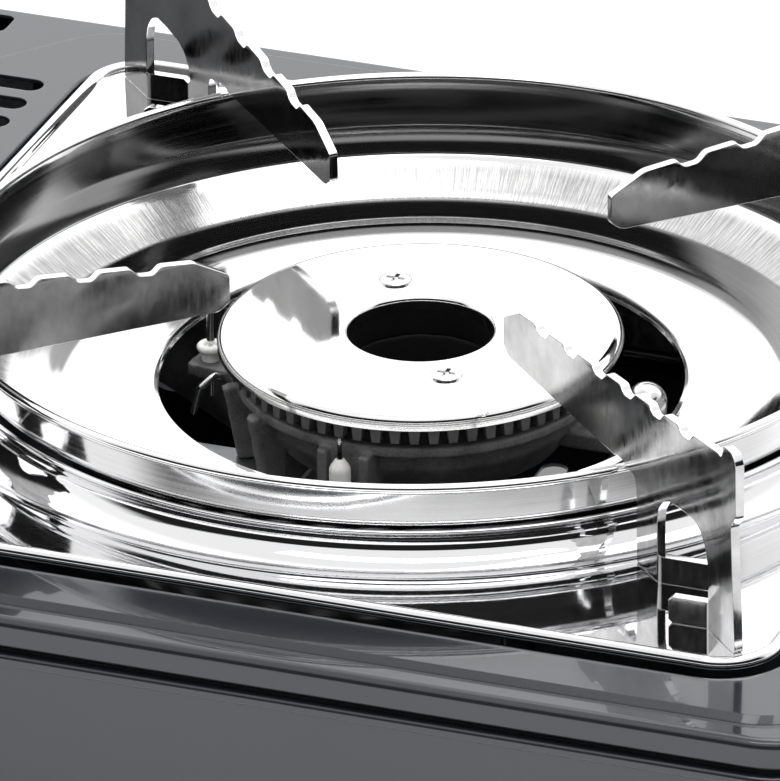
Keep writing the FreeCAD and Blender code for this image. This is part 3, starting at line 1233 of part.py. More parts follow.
def lead_boot():
    """Soft sleeve where the lead meets the electrode's foot."""
    x, y = on_burner(SPARK_R, SPARK_AZ)
    low = NEEDLE_LOW + 0.1
    top = SLEEVE_LOW - FIT
    bore = NEEDLE_R + RUN
    return turn([(bore, low), (3.2, low), (3.6, top), (bore, top)], x, y)


NODES = {
    "base_shell": base_shell,
    "top_cover": top_cover,
    "cover_posts": cover_posts,
    "floor_screws": floor_screws,
    "rubber_feet": rubber_feet,
    "heat_shield_wall": divider,
    "heat_plate": heat_plate,
    "front_bulkhead": bulkhead,
    "drip_tray": drip_tray,
    "wind_guard": wind_guard,
    "burner_body": burner_body,
    "burner_posts": burner_posts,
    "dome_nut": dome_nut,
    "ear_screw": ear_screw,
    "port_ring": port_ring,
    "burner_cap": burner_cap,
    "cap_screws": cap_screws,
    "air_shutter": air_shutter,
    "jet": jet,
    "jet_bracket": jet_bracket,
    "gas_pipe": gas_pipe,
    "pipe_nut": pipe_nuts,
    "spark_insulator": spark_insulator,
    "spark_electrode": spark_electrode,
    "probe_pin": probe_pin,
    "probe_collar": probe_collar,
    "probe_clip": probe_clip,
    "igniter_lead": igniter_lead,
    "lead_boot": lead_boot,
    "lead_clips": lead_clips,
    "piezo_unit": piezo_unit,
    "regulator_body": regulator_body,
    "regulator_diaphragm": regulator_diaphragm,
    "regulator_cover": regulator_cover,
    "gas_valve": valve_body,
    "knob_shaft": knob_shaft,
    "control_knob": knob,
    "cartridge_lid": cartridge_lid,
    "hinge_brackets": hinge_bracket,
    "hinge_pins": hinge_pins,
    "cradle_rails": cradle_rails,
    "lock_lever": lock_lever,
    "lever_handle": lever_handle,
    "lever_pivot": lever_pivot,
    "cartridge_pusher": pusher,
    "bar_guides": bar_guide,
}
LEGS = {"pan_support_rear_right": 45, "pan_support_rear_left": 135,
        "pan_support_front_left": 225, "pan_support_front_right": 315}


def save(name, shape):
    out = solid_of(shape)
    bad = [s for s in out.Solids if not s.isValid() or s.Volume <= 0]
    b = out.optimalBoundingBox()
    print("%-24s solids %d bad %d  x %.1f..%.1f  y %.1f..%.1f  z %.1f..%.1f" % (
        name, len(out.Solids), len(bad), b.XMin, b.XMax, b.YMin, b.YMax, b.ZMin, b.ZMax))
    out.exportStep("parts/%s.step" % name)


def main():
    os.makedirs("parts", exist_ok=True)
    for name, make in NODES.items():
        save(name, make())
    blade = pan_support()
    for name, angle in LEGS.items():
        save(name, turned(blade, angle))


main()
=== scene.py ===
import json
import math

import bmesh
import bpy
from mathutils import Matrix, Vector, noise

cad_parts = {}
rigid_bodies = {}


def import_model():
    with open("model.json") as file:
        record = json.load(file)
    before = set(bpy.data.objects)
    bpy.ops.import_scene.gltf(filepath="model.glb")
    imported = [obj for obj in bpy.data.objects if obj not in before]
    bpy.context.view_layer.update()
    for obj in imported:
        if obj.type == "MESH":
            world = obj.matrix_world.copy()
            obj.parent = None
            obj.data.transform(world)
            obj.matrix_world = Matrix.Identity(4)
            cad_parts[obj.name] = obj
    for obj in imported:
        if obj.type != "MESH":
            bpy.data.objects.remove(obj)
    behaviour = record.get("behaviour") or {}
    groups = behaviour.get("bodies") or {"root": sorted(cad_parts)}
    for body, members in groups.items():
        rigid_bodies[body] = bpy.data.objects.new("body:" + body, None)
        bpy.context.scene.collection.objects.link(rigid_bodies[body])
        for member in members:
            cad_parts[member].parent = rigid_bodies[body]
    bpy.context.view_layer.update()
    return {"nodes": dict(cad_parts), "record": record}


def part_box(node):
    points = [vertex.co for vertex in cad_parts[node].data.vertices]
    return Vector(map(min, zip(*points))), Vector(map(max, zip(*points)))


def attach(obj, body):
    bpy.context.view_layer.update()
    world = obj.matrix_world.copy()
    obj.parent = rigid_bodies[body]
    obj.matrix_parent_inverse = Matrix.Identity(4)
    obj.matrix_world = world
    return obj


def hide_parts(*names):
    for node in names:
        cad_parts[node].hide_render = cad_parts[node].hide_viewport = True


for old in list(bpy.data.objects):
    bpy.data.objects.remove(old)
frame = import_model()

# Sizes are in millimetres where a name says nothing else; MM turns them into metres.
MM = 0.001
PICTURE = (780, 781)
cap_low, cap_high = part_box("burner_cap")
AXIS = (cap_low + cap_high) / 2 / MM            # the burner's axis
CAP_TOP = cap_high.z / MM
CAP_R = (cap_high.x - cap_low.x) / 2 / MM
TRAY_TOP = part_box("pan_support_rear_left")[0].z / MM
GUARD_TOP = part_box("wind_guard")[1].z / MM
LEG_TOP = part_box("pan_support_rear_left")[1].z / MM
TRAY_HALF = (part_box("drip_tray")[1].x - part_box("drip_tray")[0].x) / 2 / MM
TURN_STEPS = 240                                # facets round the burner's axis


def put(name, data):
    """New object in the scene."""
    made = bpy.data.objects.new(name, data)
    bpy.context.scene.collection.objects.link(made)
    return made


# Camera

CAMERA_AZIMUTH = 20.763       # degrees from the rear towards the cartridge's far side
CAMERA_ELEVATION = 25.764
CAMERA_ROLL = -0.62
CAMERA_DISTANCE = 3.0253      # metres from the middle of the cap's top
LENS = 661.78
SENSOR = 36.0
CAP_MIDDLE_PIXEL = (420.58, 327.57)


def make_camera():
    """Long lens from behind the stove; the cap's middle falls on its own place in the picture."""
    data = bpy.data.cameras.new("camera")
    data.lens = LENS
    data.sensor_width = SENSOR
    data.clip_end = 50
    camera = put("camera", data)
    a = math.radians(CAMERA_AZIMUTH)
    e = math.radians(CAMERA_ELEVATION)
    away = Vector((-math.sin(a) * math.cos(e), math.cos(a) * math.cos(e), math.sin(e)))
    target = Vector((AXIS.x * MM, AXIS.y * MM, CAP_TOP * MM))
    look = away * -1
    right = look.cross(Vector((0, 0, 1))).normalized()
    up = right.cross(look)
    roll = Matrix.Rotation(math.radians(CAMERA_ROLL), 3, "Z")
    base = Matrix((right, up, away)).transposed() @ roll
    per_pixel = SENSOR / PICTURE[0] / LENS
    dx = (CAP_MIDDLE_PIXEL[0] - PICTURE[0] / 2) * per_pixel
    dy = (PICTURE[1] / 2 - CAP_MIDDLE_PIXEL[1]) * per_pixel
    seen = Vector((dx, dy, -1)).normalized()
    aim = seen.rotation_difference(Vector((0, 0, -1))).to_matrix()
    turn = (base @ aim).to_quaternion()
    camera.matrix_world = Matrix.LocRotScale(target + away * CAMERA_DISTANCE, turn, None)
    bpy.context.scene.camera = camera
    return away


TOWARDS_CAMERA = make_camera()


# Materials

class Nodes:
    """Short ways to fill a node tree."""

    def __init__(self, tree):
        self.tree = tree

    def node(self, kind, **settings):
        made = self.tree.nodes.new(kind)
        for key, value in settings.items():
            setattr(made, key, value)
        return made

    def link(self, source, socket):
        self.tree.links.new(source, socket)

    def math(self, kind, a, b=None):
        made = self.node("ShaderNodeMath", operation=kind)
        for socket, value in zip(made.inputs, (a, b)):
            if isinstance(value, (int, float)):
                socket.default_value = value
            elif value is not None:
                self.link(value, socket)
        return made.outputs[0]

    def product(self, *factors):
        out = factors[0]
        for factor in factors[1:]:
            out = self.math("MULTIPLY", out, factor)
        return out

    def range(self, value, low, high, to_low=0, to_high=1, smooth=False):
        made = self.node("ShaderNodeMapRange")
        if smooth:
            made.interpolation_type = "SMOOTHSTEP"
        for key, number in zip(("From Min", "From Max", "To Min", "To Max"), (low, high, to_low, to_high)):
            made.inputs[key].default_value = number
        self.link(value, made.inputs["Value"])
        return made.outputs["Result"]

    def fade(self, value, start, end, to_low=0, to_high=1):
        return self.range(value, start, end, to_low, to_high, smooth=True)

    def split(self, vector):
        made = self.node("ShaderNodeSeparateXYZ")
        self.link(vector, made.inputs[0])
        return made.outputs

    def joined(self, *values):
        made = self.node("ShaderNodeCombineXYZ")
        for socket, value in zip(made.inputs, values):
            self.link(value, socket)
        return made.outputs["Vector"]

    def blend(self, share, colour, other):
        """Goes from a linked colour to another, plain one as the share rises from 0 to 1."""
        made = self.node("ShaderNodeMix", data_type="RGBA")
        self.link(share, made.inputs["Factor"])
        self.link(colour, made.inputs["A"])
        made.inputs["B"].default_value = (*other, 1)
        return made.outputs["Result"]


class Look(Nodes):
    """A node material under construction."""

    def __init__(self, name):
        self.mat = bpy.data.materials.new(name)
        self.mat.use_nodes = True
        super().__init__(self.mat.node_tree)
        self.shader = self.tree.nodes["Principled BSDF"]
        self.place = self.node("ShaderNodeTexCoord").outputs["Object"]

    def set(self, **values):
        for key, value in values.items():
            self.shader.inputs[key.replace("_", " ")].default_value = value

    def noise(self, size_mm, detail=3.0, roughness=0.5, stretch=(1, 1, 1), where=None):
        """Noise whose lumps are about size_mm across."""
        mapping = self.node("ShaderNodeMapping")
        mapping.inputs["Scale"].default_value = stretch
        self.link(where or self.place, mapping.inputs["Vector"])
        tex = self.node("ShaderNodeTexNoise")
        tex.inputs["Scale"].default_value = 1 / (size_mm * MM)
        tex.inputs["Detail"].default_value = detail
        tex.inputs["Roughness"].default_value = roughness
        self.link(mapping.outputs["Vector"], tex.inputs["Vector"])
        return tex.outputs["Fac"]

    def ramp(self, value, *stops):
        """Grey or coloured steps: (position, grey or colour)."""
        made = self.node("ShaderNodeValToRGB")
        ramp = made.color_ramp
        while len(ramp.elements) < len(stops):
            ramp.elements.new(0.5)
        for element, (at, shade) in zip(ramp.elements, stops):
            element.position = at
            rgb = (shade,) * 3 if isinstance(shade, (int, float)) else shade
            element.color = (*rgb, 1)
        self.link(value, made.inputs["Fac"])
        return made.outputs["Color"]

    def bump(self, height, depth_mm, before=None):
        made = self.node("ShaderNodeBump")
        made.inputs["Strength"].default_value = 1.0
        made.inputs["Distance"].default_value = depth_mm * MM
        self.link(height, made.inputs["Height"])
        if before is not None:
            self.link(before, made.inputs["Normal"])
        return made.outputs["Normal"]

    def done(self, colour=None, roughness=None, normal=None):
        for value, key in ((colour, "Base Color"), (roughness, "Roughness"), (normal, "Normal")):
            if value is not None:
                self.link(value, self.shader.inputs[key])
        return self.mat


def chrome_plate():
    """Bright plate: mirror finish, faint ripples of the pressed sheet, fine wiping marks."""
    look = Look("chrome_plate")
    look.set(Metallic=1.0)
    tint = look.ramp(look.noise(45, 2), (0.3, (0.80, 0.80, 0.81)), (0.7, (0.90, 0.90, 0.91)))
    ripple = look.noise(26, 1.0)
    marks = look.noise(1.2, 3, 0.6, (1, 1, 4))
    rough = look.range(marks, 0.3, 0.75, 0.02, 0.07)
    normal = look.bump(ripple, 0.09)
    normal = look.bump(marks, 0.0012, normal)
    return look.done(tint, rough, normal)


def leg_plate():
    """Duller plate of the pan supports: smudged by heat, with painted shade towards the front and painted
    highlights on the edges that face up or down.
    """
    look = Look("leg_plate")
    look.set(Metallic=1.0)
    smudge = look.noise(14, 4, 0.6)
    marks = look.noise(1.0, 3, 0.6, (1, 1, 0.25))
    middle = AXIS.y * MM
    blend_run = 20 * MM
    # Painted shade: the plate gets darker towards the front pan supports.
    front_painted_shade = look.range(look.split(look.place)["Y"], middle - blend_run, middle + blend_run, 0.3, 1)
    # The face colour carries the heat smudges and the painted shade towards the front.
    faces = look.product(look.range(smudge, 0.3, 0.7, 0.30, 0.58), front_painted_shade)
    upward = look.split(look.node("ShaderNodeNewGeometry").outputs["Normal"])["Z"]
    # Painted highlight: edges that face up or down are tinted near white.
    edge_painted_highlight = look.range(look.math("ABSOLUTE", upward), 0.15, 0.45)
    tint = look.blend(edge_painted_highlight, faces, (0.86, 0.86, 0.87))
    rough = look.range(look.math("ADD", smudge, marks), 0.7, 1.3, 0.06, 0.17)
    normal = look.bump(look.noise(22, 1.0), 0.10)
    normal = look.bump(marks, 0.002, normal)
    return look.done(tint, rough, normal)


def polar(look):
    """Angle about the burner's axis in radians, radius in metres and height, from the object's place."""
    centred = look.node("ShaderNodeMapping")
    centred.inputs["Location"].default_value = (-AXIS.x * MM, -AXIS.y * MM, 0)
    look.link(look.place, centred.inputs["Vector"])
    x, y, z = look.split(centred.outputs["Vector"])
    angle = look.math("ARCTAN2", y, x)
    radius = look.math("SQRT", look.math("ADD", look.product(x, x), look.product(y, y)))
    return angle, radius, z


def off_axis(look):
    """How far the surface faces away from the burner's axis: minus its radius where it faces the axis."""
    away = look.node("ShaderNodeVectorMath", operation="SUBTRACT")
    away.inputs[1].default_value = (AXIS.x * MM, AXIS.y * MM, 0)
    look.link(look.place, away.inputs[0])
    level = look.node("ShaderNodeVectorMath", operation="MULTIPLY")
    level.inputs[1].default_value = (1, 1, 0)
    look.link(away.outputs["Vector"], level.inputs[0])
    outward = look.node("ShaderNodeVectorMath", operation="DOT_PRODUCT")
    look.link(look.node("ShaderNodeNewGeometry").outputs["Normal"], outward.inputs[0])
    look.link(level.outputs["Vector"], outward.inputs[1])
    return outward.outputs["Value"]


SLOPE_IN, SLOPE_OUT = 86.0, 98.0                # radii of the guard's drawn slope
PAINTED_SHADE_TOP = 88.5                                # height up to which the inside of its wall gets painted shade


def guard_chrome():
    """Spun chromed sheet: turning lines all round, drawing marks on the slope, painted shade on the inside of
    the wall.
    """
    look = Look("guard_chrome")
    look.set(Metallic=1.0)
    angle, radius, z = polar(look)
    along_spokes = look.joined(look.product(angle, 0.12), look.product(radius, 0.05))
    spokes = look.noise(0.45, 4, 0.7, where=along_spokes)
    turns = look.noise(0.8, 2, 0.6, where=look.joined(radius, z, look.product(angle, 0.0006)))
    on_slope = look.product(
        look.fade(radius, SLOPE_IN * MM, (SLOPE_IN + 2.5) * MM),
        look.fade(radius, SLOPE_OUT * MM, (SLOPE_OUT - 3.5) * MM))
    rough = look.math("ADD", look.range(turns, 0.3, 0.7, 0.06, 0.11), look.product(on_slope, 0.16))
    normal = look.bump(look.noise(30, 1.0), 0.08)
    normal = look.bump(turns, 0.0018, normal)
    normal = look.bump(look.product(spokes, on_slope), 0.022, normal)
    # Painted shade: the inside of the wall is darkened below a height.
    inside = look.fade(off_axis(look), -85 * MM, -95 * MM)
    low = look.fade(z, PAINTED_SHADE_TOP * MM, (PAINTED_SHADE_TOP - 1.5) * MM)
    painted_shade_inside = look.range(look.product(inside, low), 0, 1, 1, 0.32)
    drawn = look.range(look.product(on_slope, look.range(spokes, 0.35, 0.6, 0.22, 0.60)), 0, 1, 1, 0)
    tint = look.product(look.range(turns, 0.2, 0.8, 0.84, 0.92), painted_shade_inside, drawn)
    return look.done(tint, rough, normal)


def cap_steel():
    """Polished stainless of the cap, with turning lines that only show at a glance."""
    look = Look("cap_steel")
    look.set(Metallic=1.0)
    turns = look.noise(0.5, 2, 0.6, where=look.joined(*polar(look)[1:]))
    stain = look.noise(18, 4, 0.6)
    tint = look.ramp(stain, (0.25, (0.88, 0.88, 0.87)), (0.6, (0.94, 0.94, 0.94)))
    rough = look.range(look.math("ADD", turns, stain), 0.6, 1.4, 0.04, 0.10)
    return look.done(tint, rough, look.bump(turns, 0.002))


def port_metal():
    """Machined crown: grey teeth mottled with soot, and painted shade on the wall behind them and in the
    middle hole.
    """
    look = Look("port_metal")
    look.set(Metallic=0.35)
    grain = look.noise(0.7, 5, 0.65)
    soot = look.noise(7, 3, 0.6)
    # Painted shade: near black on the wall behind the teeth and in the middle hole.
    painted_shade_behind_teeth = look.fade(polar(look)[1], 38.0 * MM, 39.2 * MM, 0.05)
    tint = look.product(look.range(soot, 0.3, 0.75, 0.09, 0.17), painted_shade_behind_teeth)
    return look.done(tint, look.range(grain, 0.3, 0.7, 0.4, 0.6), look.bump(grain, 0.03))


def casting():
    """Rough sand-cast aluminium: open grain, darker hollows, painted shade in the middle hole."""
    look = Look("casting")
    look.set(Metallic=0.6)
    grain = look.noise(0.55, 6, 0.75)
    blotch = look.noise(9, 4, 0.6)
    both = look.math("ADD", look.product(grain, 0.55), look.product(blotch, 0.45))
    # Painted shade: the casting turns dark in the middle hole.
    painted_shade_in_hole = look.fade(polar(look)[1], 18 * MM, 26 * MM, 0.06)
    tint = look.product(look.range(both, 0.3, 0.7, 0.07, 0.36), painted_shade_in_hole)
    return look.done(tint, look.range(grain, 0.3, 0.7, 0.5, 0.8), look.bump(grain, 0.09))


PAINT = (0.026, 0.029, 0.037)
PAINT_METAL = 0.35
NECK_LOW = 61.45                                # the base's neck under the cover's skirt starts here; above it the tub's paint carries painted shade


def paint(name, painted_shade_above=None):
    """Glossy stove paint with faint orange peel and metal flake; above a given height it can carry painted
    shade, near black with less coat.
    """
    look = Look(name)
    look.set(Metallic=PAINT_METAL, IOR=1.45, Coat_Weight=0.75, Coat_Roughness=0.02, Coat_IOR=1.5)
    cloud = look.noise(60, 3)
    flake = look.noise(0.25, 1.0)
    dark = tuple(c * 0.92 for c in PAINT)
    light = tuple(c * 1.08 for c in PAINT)
    mixed = look.math("ADD", look.product(cloud, 0.7), look.product(flake, 0.3))
    tint = look.ramp(mixed, (0.3, dark), (0.7, light))
    # Painted shade: near black with less coat above the height, for the gap under the cover's skirt.
    if painted_shade_above:
        above = look.range(look.split(look.place)["Z"], painted_shade_above * MM, (painted_shade_above + 0.05) * MM)
        tint = look.blend(above, tint, (0.004, 0.004, 0.005))
        look.link(look.range(above, 0, 1, 0.8, 0.0), look.shader.inputs["Coat Weight"])
    eased = look.node("ShaderNodeBevel", samples=6)
    eased.inputs["Radius"].default_value = 0.55 * MM
    normal = look.bump(look.noise(1.6, 2, 0.5), 0.0025, eased.outputs["Normal"])
    return look.done(tint, look.range(flake, 0.3, 0.7, 0.12, 0.22), normal)


def plated(name, colour, rough, depth=0.006):
    """Zinc or nickel plate on a plain pressed part."""
    look = Look(name)
    look.set(Metallic=1.0)
    spangle = look.noise(5, 3, 0.6)
    fine = look.noise(0.5, 3, 0.6, (1, 1, 3))
    dark = tuple(c * 0.82 for c in colour)
    tint = look.ramp(spangle, (0.3, dark), (0.7, colour))
    return look.done(tint, look.range(fine, 0.3, 0.7, rough, rough + 0.14), look.bump(fine, depth))


def ceramic():
    """White glazed ceramic with faint cream spots."""
    look = Look("ceramic")
    look.set(IOR=1.5)
    spot = look.noise(2.2, 4, 0.6)
    tint = look.ramp(spot, (0.3, (0.86, 0.85, 0.82)), (0.6, (0.94, 0.94, 0.92)))
    return look.done(tint, look.range(spot, 0.3, 0.7, 0.22, 0.35), look.bump(spot, 0.02))


def moulded(name, colour, rough, depth):
    """Fine-grained moulded plastic or rubber."""
    look = Look(name)
    grain = look.noise(0.35, 3, 0.6)
    wear = look.noise(12, 3, 0.6)
    light = tuple(c * 1.5 + 0.006 for c in colour)
    tint = look.ramp(wear, (0.3, colour), (0.75, light))
    return look.done(tint, look.range(grain, 0.3, 0.7, rough, rough + 0.15), look.bump(grain, depth))


def printed():
    """White print on the front wall."""
    look = Look("printed")
    grain = look.noise(0.4, 2)
    tint = look.ramp(grain, (0.3, 0.72), (0.7, 0.80))
    return look.done(tint, look.range(grain, 0.3, 0.7, 0.35, 0.5))


LOOKS = {
    "casing_paint": paint("casing_paint"),
    "tub_paint": paint("tub_paint", NECK_LOW),
    "chrome_plate": chrome_plate(),
    "guard_chrome": guard_chrome(),
    "leg_plate": leg_plate(),
    "cap_steel": cap_steel(),
    "port_metal": port_metal(),
    "burner_casting": casting(),
    "zinc_steel": plated("zinc_steel", (0.52, 0.53, 0.55), 0.28),
    "bright_steel": plated("bright_steel", (0.78, 0.78, 0.79), 0.10, 0.003),
    "die_cast": plated("die_cast", (0.55, 0.55, 0.56), 0.42, 0.02),
    "pipe_aluminium": plated("pipe_aluminium", (0.74, 0.74, 0.75), 0.25),
    "jet_brass": plated("jet_brass", (0.72, 0.53, 0.25), 0.18),
    "white_ceramic": ceramic(),
    "foot_rubber": moulded("foot_rubber", (0.02, 0.02, 0.02), 0.6, 0.03),
    "lead_sleeve": moulded("lead_sleeve", (0.62, 0.61, 0.57), 0.4, 0.01),
    "black_plastic": moulded("black_plastic", (0.022, 0.022, 0.023), 0.34, 0.02),
    "printed": printed(),
}


# Studio

FLOOR_HALF = 4.0
FLOOR_GREY = 0.86
FLOOR_GLOW = 0.28


def make_floor():
    """Pale table that keeps the stove's shadow and shows near white to the camera and in the metal."""
    mesh = bpy.data.meshes.new("floor")
    corners = [(x * FLOOR_HALF, y * FLOOR_HALF, 0) for x, y in ((-1, -1), (1, -1), (1, 1), (-1, 1))]
    mesh.from_pydata(corners, [], [(0, 1, 2, 3)])
    floor = put("floor", mesh)
    mat = bpy.data.materials.new("floor")
    mat.use_nodes = True
    mat.node_tree.nodes.clear()
    table = Nodes(mat.node_tree)
    diffuse = table.node("ShaderNodeBsdfDiffuse")
    diffuse.inputs["Color"].default_value = (FLOOR_GREY, FLOOR_GREY, FLOOR_GREY, 1)
    path = table.node("ShaderNodeLightPath").outputs
    seen = table.math("MAXIMUM", path["Is Camera Ray"], path["Is Glossy Ray"])
    glow = table.node("ShaderNodeEmission")
    table.link(table.product(seen, FLOOR_GLOW), glow.inputs["Strength"])
    both = table.node("ShaderNodeAddShader")
    table.link(diffuse.outputs[0], both.inputs[0])
    table.link(glow.outputs[0], both.inputs[1])
    table.link(both.outputs[0], table.node("ShaderNodeOutputMaterial").inputs["Surface"])
    mesh.materials.append(mat)


DARK_LOW, DARK_HIGH = 0.0, 0.6                  # heights of the room's dark side, as sines
SHARE_MIRRORED, SHARE_MATTE = 0.985, 0.35       # how dark it is in mirrors and for plain surfaces
NEAR_LEVEL, FAR_LEVEL = 1.25, 1.9               # brightness of the white walls


def make_world():
    """White studio all round, brightest beyond the stove, with one dark side in the near half."""
    world = bpy.data.worlds.new("studio")
    bpy.context.scene.world = world
    world.use_nodes = True
    world.node_tree.nodes.clear()
    room = Nodes(world.node_tree)
    way = room.node("ShaderNodeTexCoord").outputs["Generated"]
    height = room.split(way)["Z"]
    towards = room.node("ShaderNodeVectorMath", operation="DOT_PRODUCT")
    towards.inputs[1].default_value = Vector((TOWARDS_CAMERA.x, TOWARDS_CAMERA.y, 0)).normalized()
    room.link(way, towards.inputs[0])
    near = towards.outputs["Value"]
    above = room.fade(height, DARK_LOW - 0.02, DARK_LOW + 0.03)
    below = room.fade(height, DARK_HIGH + 0.03, DARK_HIGH - 0.02)
    band = room.product(above, below)
    dark = room.product(room.fade(near, 0.10, 0.34), band)
    path = room.node("ShaderNodeLightPath").outputs
    share = room.fade(path["Is Glossy Ray"], 0.0, 1.0, SHARE_MATTE, SHARE_MIRRORED)
    level = room.math("SUBTRACT", 1.0, room.product(dark, share))
    lit = room.product(level, room.fade(near, 0.0, -0.3, NEAR_LEVEL, FAR_LEVEL))
    unseen = room.math("SUBTRACT", 1.0, path["Is Camera Ray"])
    strength = room.math("ADD", room.product(lit, unseen), path["Is Camera Ray"])
    back = room.node("ShaderNodeBackground")
    room.link(strength, back.inputs["Strength"])
    room.link(back.outputs[0], room.node("ShaderNodeOutputWorld").inputs["Surface"])


def make_lamp(name, place, size, power):
    """Soft area lamp aimed at the burner."""
    data = bpy.data.lights.new(name, "AREA")
    data.shape = "RECTANGLE"
    data.size, data.size_y = size
    data.energy = power
    lamp = put(name, data)
    aim = Vector((AXIS.x * MM, AXIS.y * MM, 0.05)) - Vector(place)
    lamp.matrix_world = Matrix.LocRotScale(Vector(place), aim.to_track_quat("-Z", "Y"), None)


make_floor()
make_world()
make_lamp("overhead_softbox", (-0.3, -0.5, 1.7), (1.4, 1.0), 9.0)
make_lamp("near_strip", (-0.34, 0.80, 1.86), (1.6, 0.4), 7.0)


# Mesh tools

def arc(cx, cz, r, start, end, steps):
    """Points of an arc in a section, angles in degrees."""
    out = []
    for i in range(steps + 1):
        a = math.radians(start + (end - start) * i / steps)
        out.append((cx + r * math.cos(a), cz + r * math.sin(a)))
    return out


def flowing(points, steps):
    """Smooth curve through the points."""
    out = []
    last = len(points) - 1
    for i in range(last):
        p0 = points[max(i - 1, 0)]
        p1, p2 = points[i], points[i + 1]
        p3 = points[min(i + 2, last)]
        for k in range(steps):
            t = k / steps
            spot = []
            for a, b, c, d in zip(p0, p1, p2, p3):
                spot.append(0.5 * (2 * b + (c - a) * t + (2 * a - 5 * b + 4 * c - d) * t * t
                                   + (3 * b - a - 3 * c + d) * t ** 3))
            out.append(tuple(spot))
    return out + [points[-1]]


def sheet(path, thick):
    """Closed section of a sheet whose shown face follows the path; the metal lies on the path's left."""
    other = []
    last = len(path) - 1
    for i, (x, z) in enumerate(path):
        ax, az = path[max(i - 1, 0)]
        bx, bz = path[min(i + 1, last)]
        run = math.hypot(bx - ax, bz - az)
        other.append((x - (bz - az) / run * thick, z + (bx - ax) / run * thick))
    return path + other[::-1]


def softened(points, radius, steps=4):
    """Closed outline with each corner rounded."""
    out = []
    for i, p in enumerate(points):
        before = Vector(points[i - 1]) - Vector(p)
        after = Vector(points[(i + 1) % len(points)]) - Vector(p)
        cut = min(radius, 0.42 * before.length, 0.42 * after.length)
        a = Vector(p) + before.normalized() * cut
        b = Vector(p) + after.normalized() * cut
        for k in range(steps + 1):
            t = k / steps
            spot = a * (1 - t) ** 2 + Vector(p) * 2 * t * (1 - t) + b * t * t
            out.append(tuple(spot))
    return out


def drawn(verts, faces):
    bm = bmesh.new()
    made = [bm.verts.new(v) for v in verts]
    for face in faces:
        bm.faces.new([made[i] for i in face])
    return bm


def finished(bm, name):
    mesh = bpy.data.meshes.new(name)
    bm.to_mesh(mesh)
    bm.free()
    return mesh


def from_parts(name, verts, faces):
    """Mesh with its doubled seams closed and its faces turned outward."""
    bm = drawn(verts, faces)
    bmesh.ops.remove_doubles(bm, verts=bm.verts, dist=1e-6)
    bmesh.ops.recalc_face_normals(bm, faces=bm.faces)
    return finished(bm, name)


def eased_edges(bm, edges, run=0.22):
    bmesh.ops.bevel(bm, geom=edges, offset=run * MM, segments=2, profile=0.5, affect="EDGES",
                    clamp_overlap=True)


def lathe(name, outline, centre=None, steps=TURN_STEPS):
    """Closed (radius, height) section turned about an upright axis."""
    cx, cy = centre or (AXIS.x, AXIS.y)
    verts = []
    faces = []
    n = len(outline)
    for i in range(steps):
        a = 2 * math.pi * i / steps
        for r, z in outline:
            verts.append(((cx + r * math.cos(a)) * MM, (cy + r * math.sin(a)) * MM, z * MM))
        j = (i + 1) % steps
        for k in range(n):
            m = (k + 1) % n
            corners = [i * n + k, j * n + k, j * n + m, i * n + m]
            if outline[k][0] < 1e-6:
                corners.pop(1)
            if outline[m][0] < 1e-6:
                corners.pop(-1)
            if len(corners) > 2:
                faces.append(corners)
    return from_parts(name, verts, faces)


def merged(name, *parts):
    """One mesh from several."""
    bm = bmesh.new()
    for part in parts:
        bm.from_mesh(part)
        bpy.data.meshes.remove(part)
    return finished(bm, name)


def add(mesh, body, look, nodes=(), sharp=32.0):
    """Puts a finished mesh on its body, with its look, in place of the nodes it stands for."""
    mesh.shade_smooth()
    mesh.set_sharp_from_angle(angle=math.radians(sharp))
    mesh.materials.clear()
    mesh.materials.append(LOOKS[look])
    piece = put(mesh.name, mesh)
    even = piece.modifiers.new("even_shading", "WEIGHTED_NORMAL")
    even.keep_sharp = True
    even.weight = 100
    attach(piece, body)
    if nodes:
        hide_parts(*nodes)
    return piece


def cad_copy(node, name):
    """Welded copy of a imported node's mesh."""
    bm = bmesh.new()
    bm.from_mesh(frame["nodes"][node].data)
    bmesh.ops.remove_doubles(bm, verts=bm.verts, dist=2e-6)
    for layer in list(bm.loops.layers.float_vector.values()):
        bm.loops.layers.float_vector.remove(layer)
    mesh = finished(bm, name)
    if "custom_normal" in mesh.attributes:
        mesh.attributes.remove(mesh.attributes["custom_normal"])
    return mesh


# Wind guard and tray

SHEET = 0.6
GUARD_R = 99.35                                 # inside of the wall under its rolled rim
GUARD_ROLL = 1.1
GUARD_FLARE = 1.1                               # the wall leans out this far above the collar
FLARE_START = 79.9
GUARD_BEND = 0.9
BEND_Z = 73.0
SLOPE = [(97.2, 71.8), (94.0, 70.05), (91.0, 68.4), (89.0, 67.3), (87.6, 66.75)]
BOWL_FLOOR = [(86.0, 66.55), (83.0, 66.4), (79.5, 66.35), (77.0, 66.6)]
RIDGE = [(74.6, 66.9), (71.0, 66.8), (66.0, 66.25)]
BOWL_EDGE = [(61.0, 65.9), (58.0, 65.85), (56.4, 66.0)]
GUARD_LIP = (55.75, 66.35)


def wind_guard():
    """Rolled rim, flared wall, and a bowl with a slope, a flat floor and a gentle ridge round its opening."""
    roll_r = GUARD_R + GUARD_ROLL
    roll_z = GUARD_TOP - GUARD_ROLL
    rim = arc(roll_r, roll_z, GUARD_ROLL, -150, 180, 26)
    foot_r = GUARD_R - GUARD_FLARE
    wall = [(GUARD_R, roll_z - 1.0), (foot_r + 0.1, FLARE_START), (foot_r, FLARE_START - 0.9), (foot_r, 76.0)]
    bend = arc(foot_r - GUARD_BEND, BEND_Z, GUARD_BEND, 0, -62, 6)
    bowl = flowing(SLOPE + BOWL_FLOOR + RIDGE + BOWL_EDGE, 5)
    return lathe("wind_guard_shell", sheet(rim + wall + bend + bowl + [GUARD_LIP], SHEET))


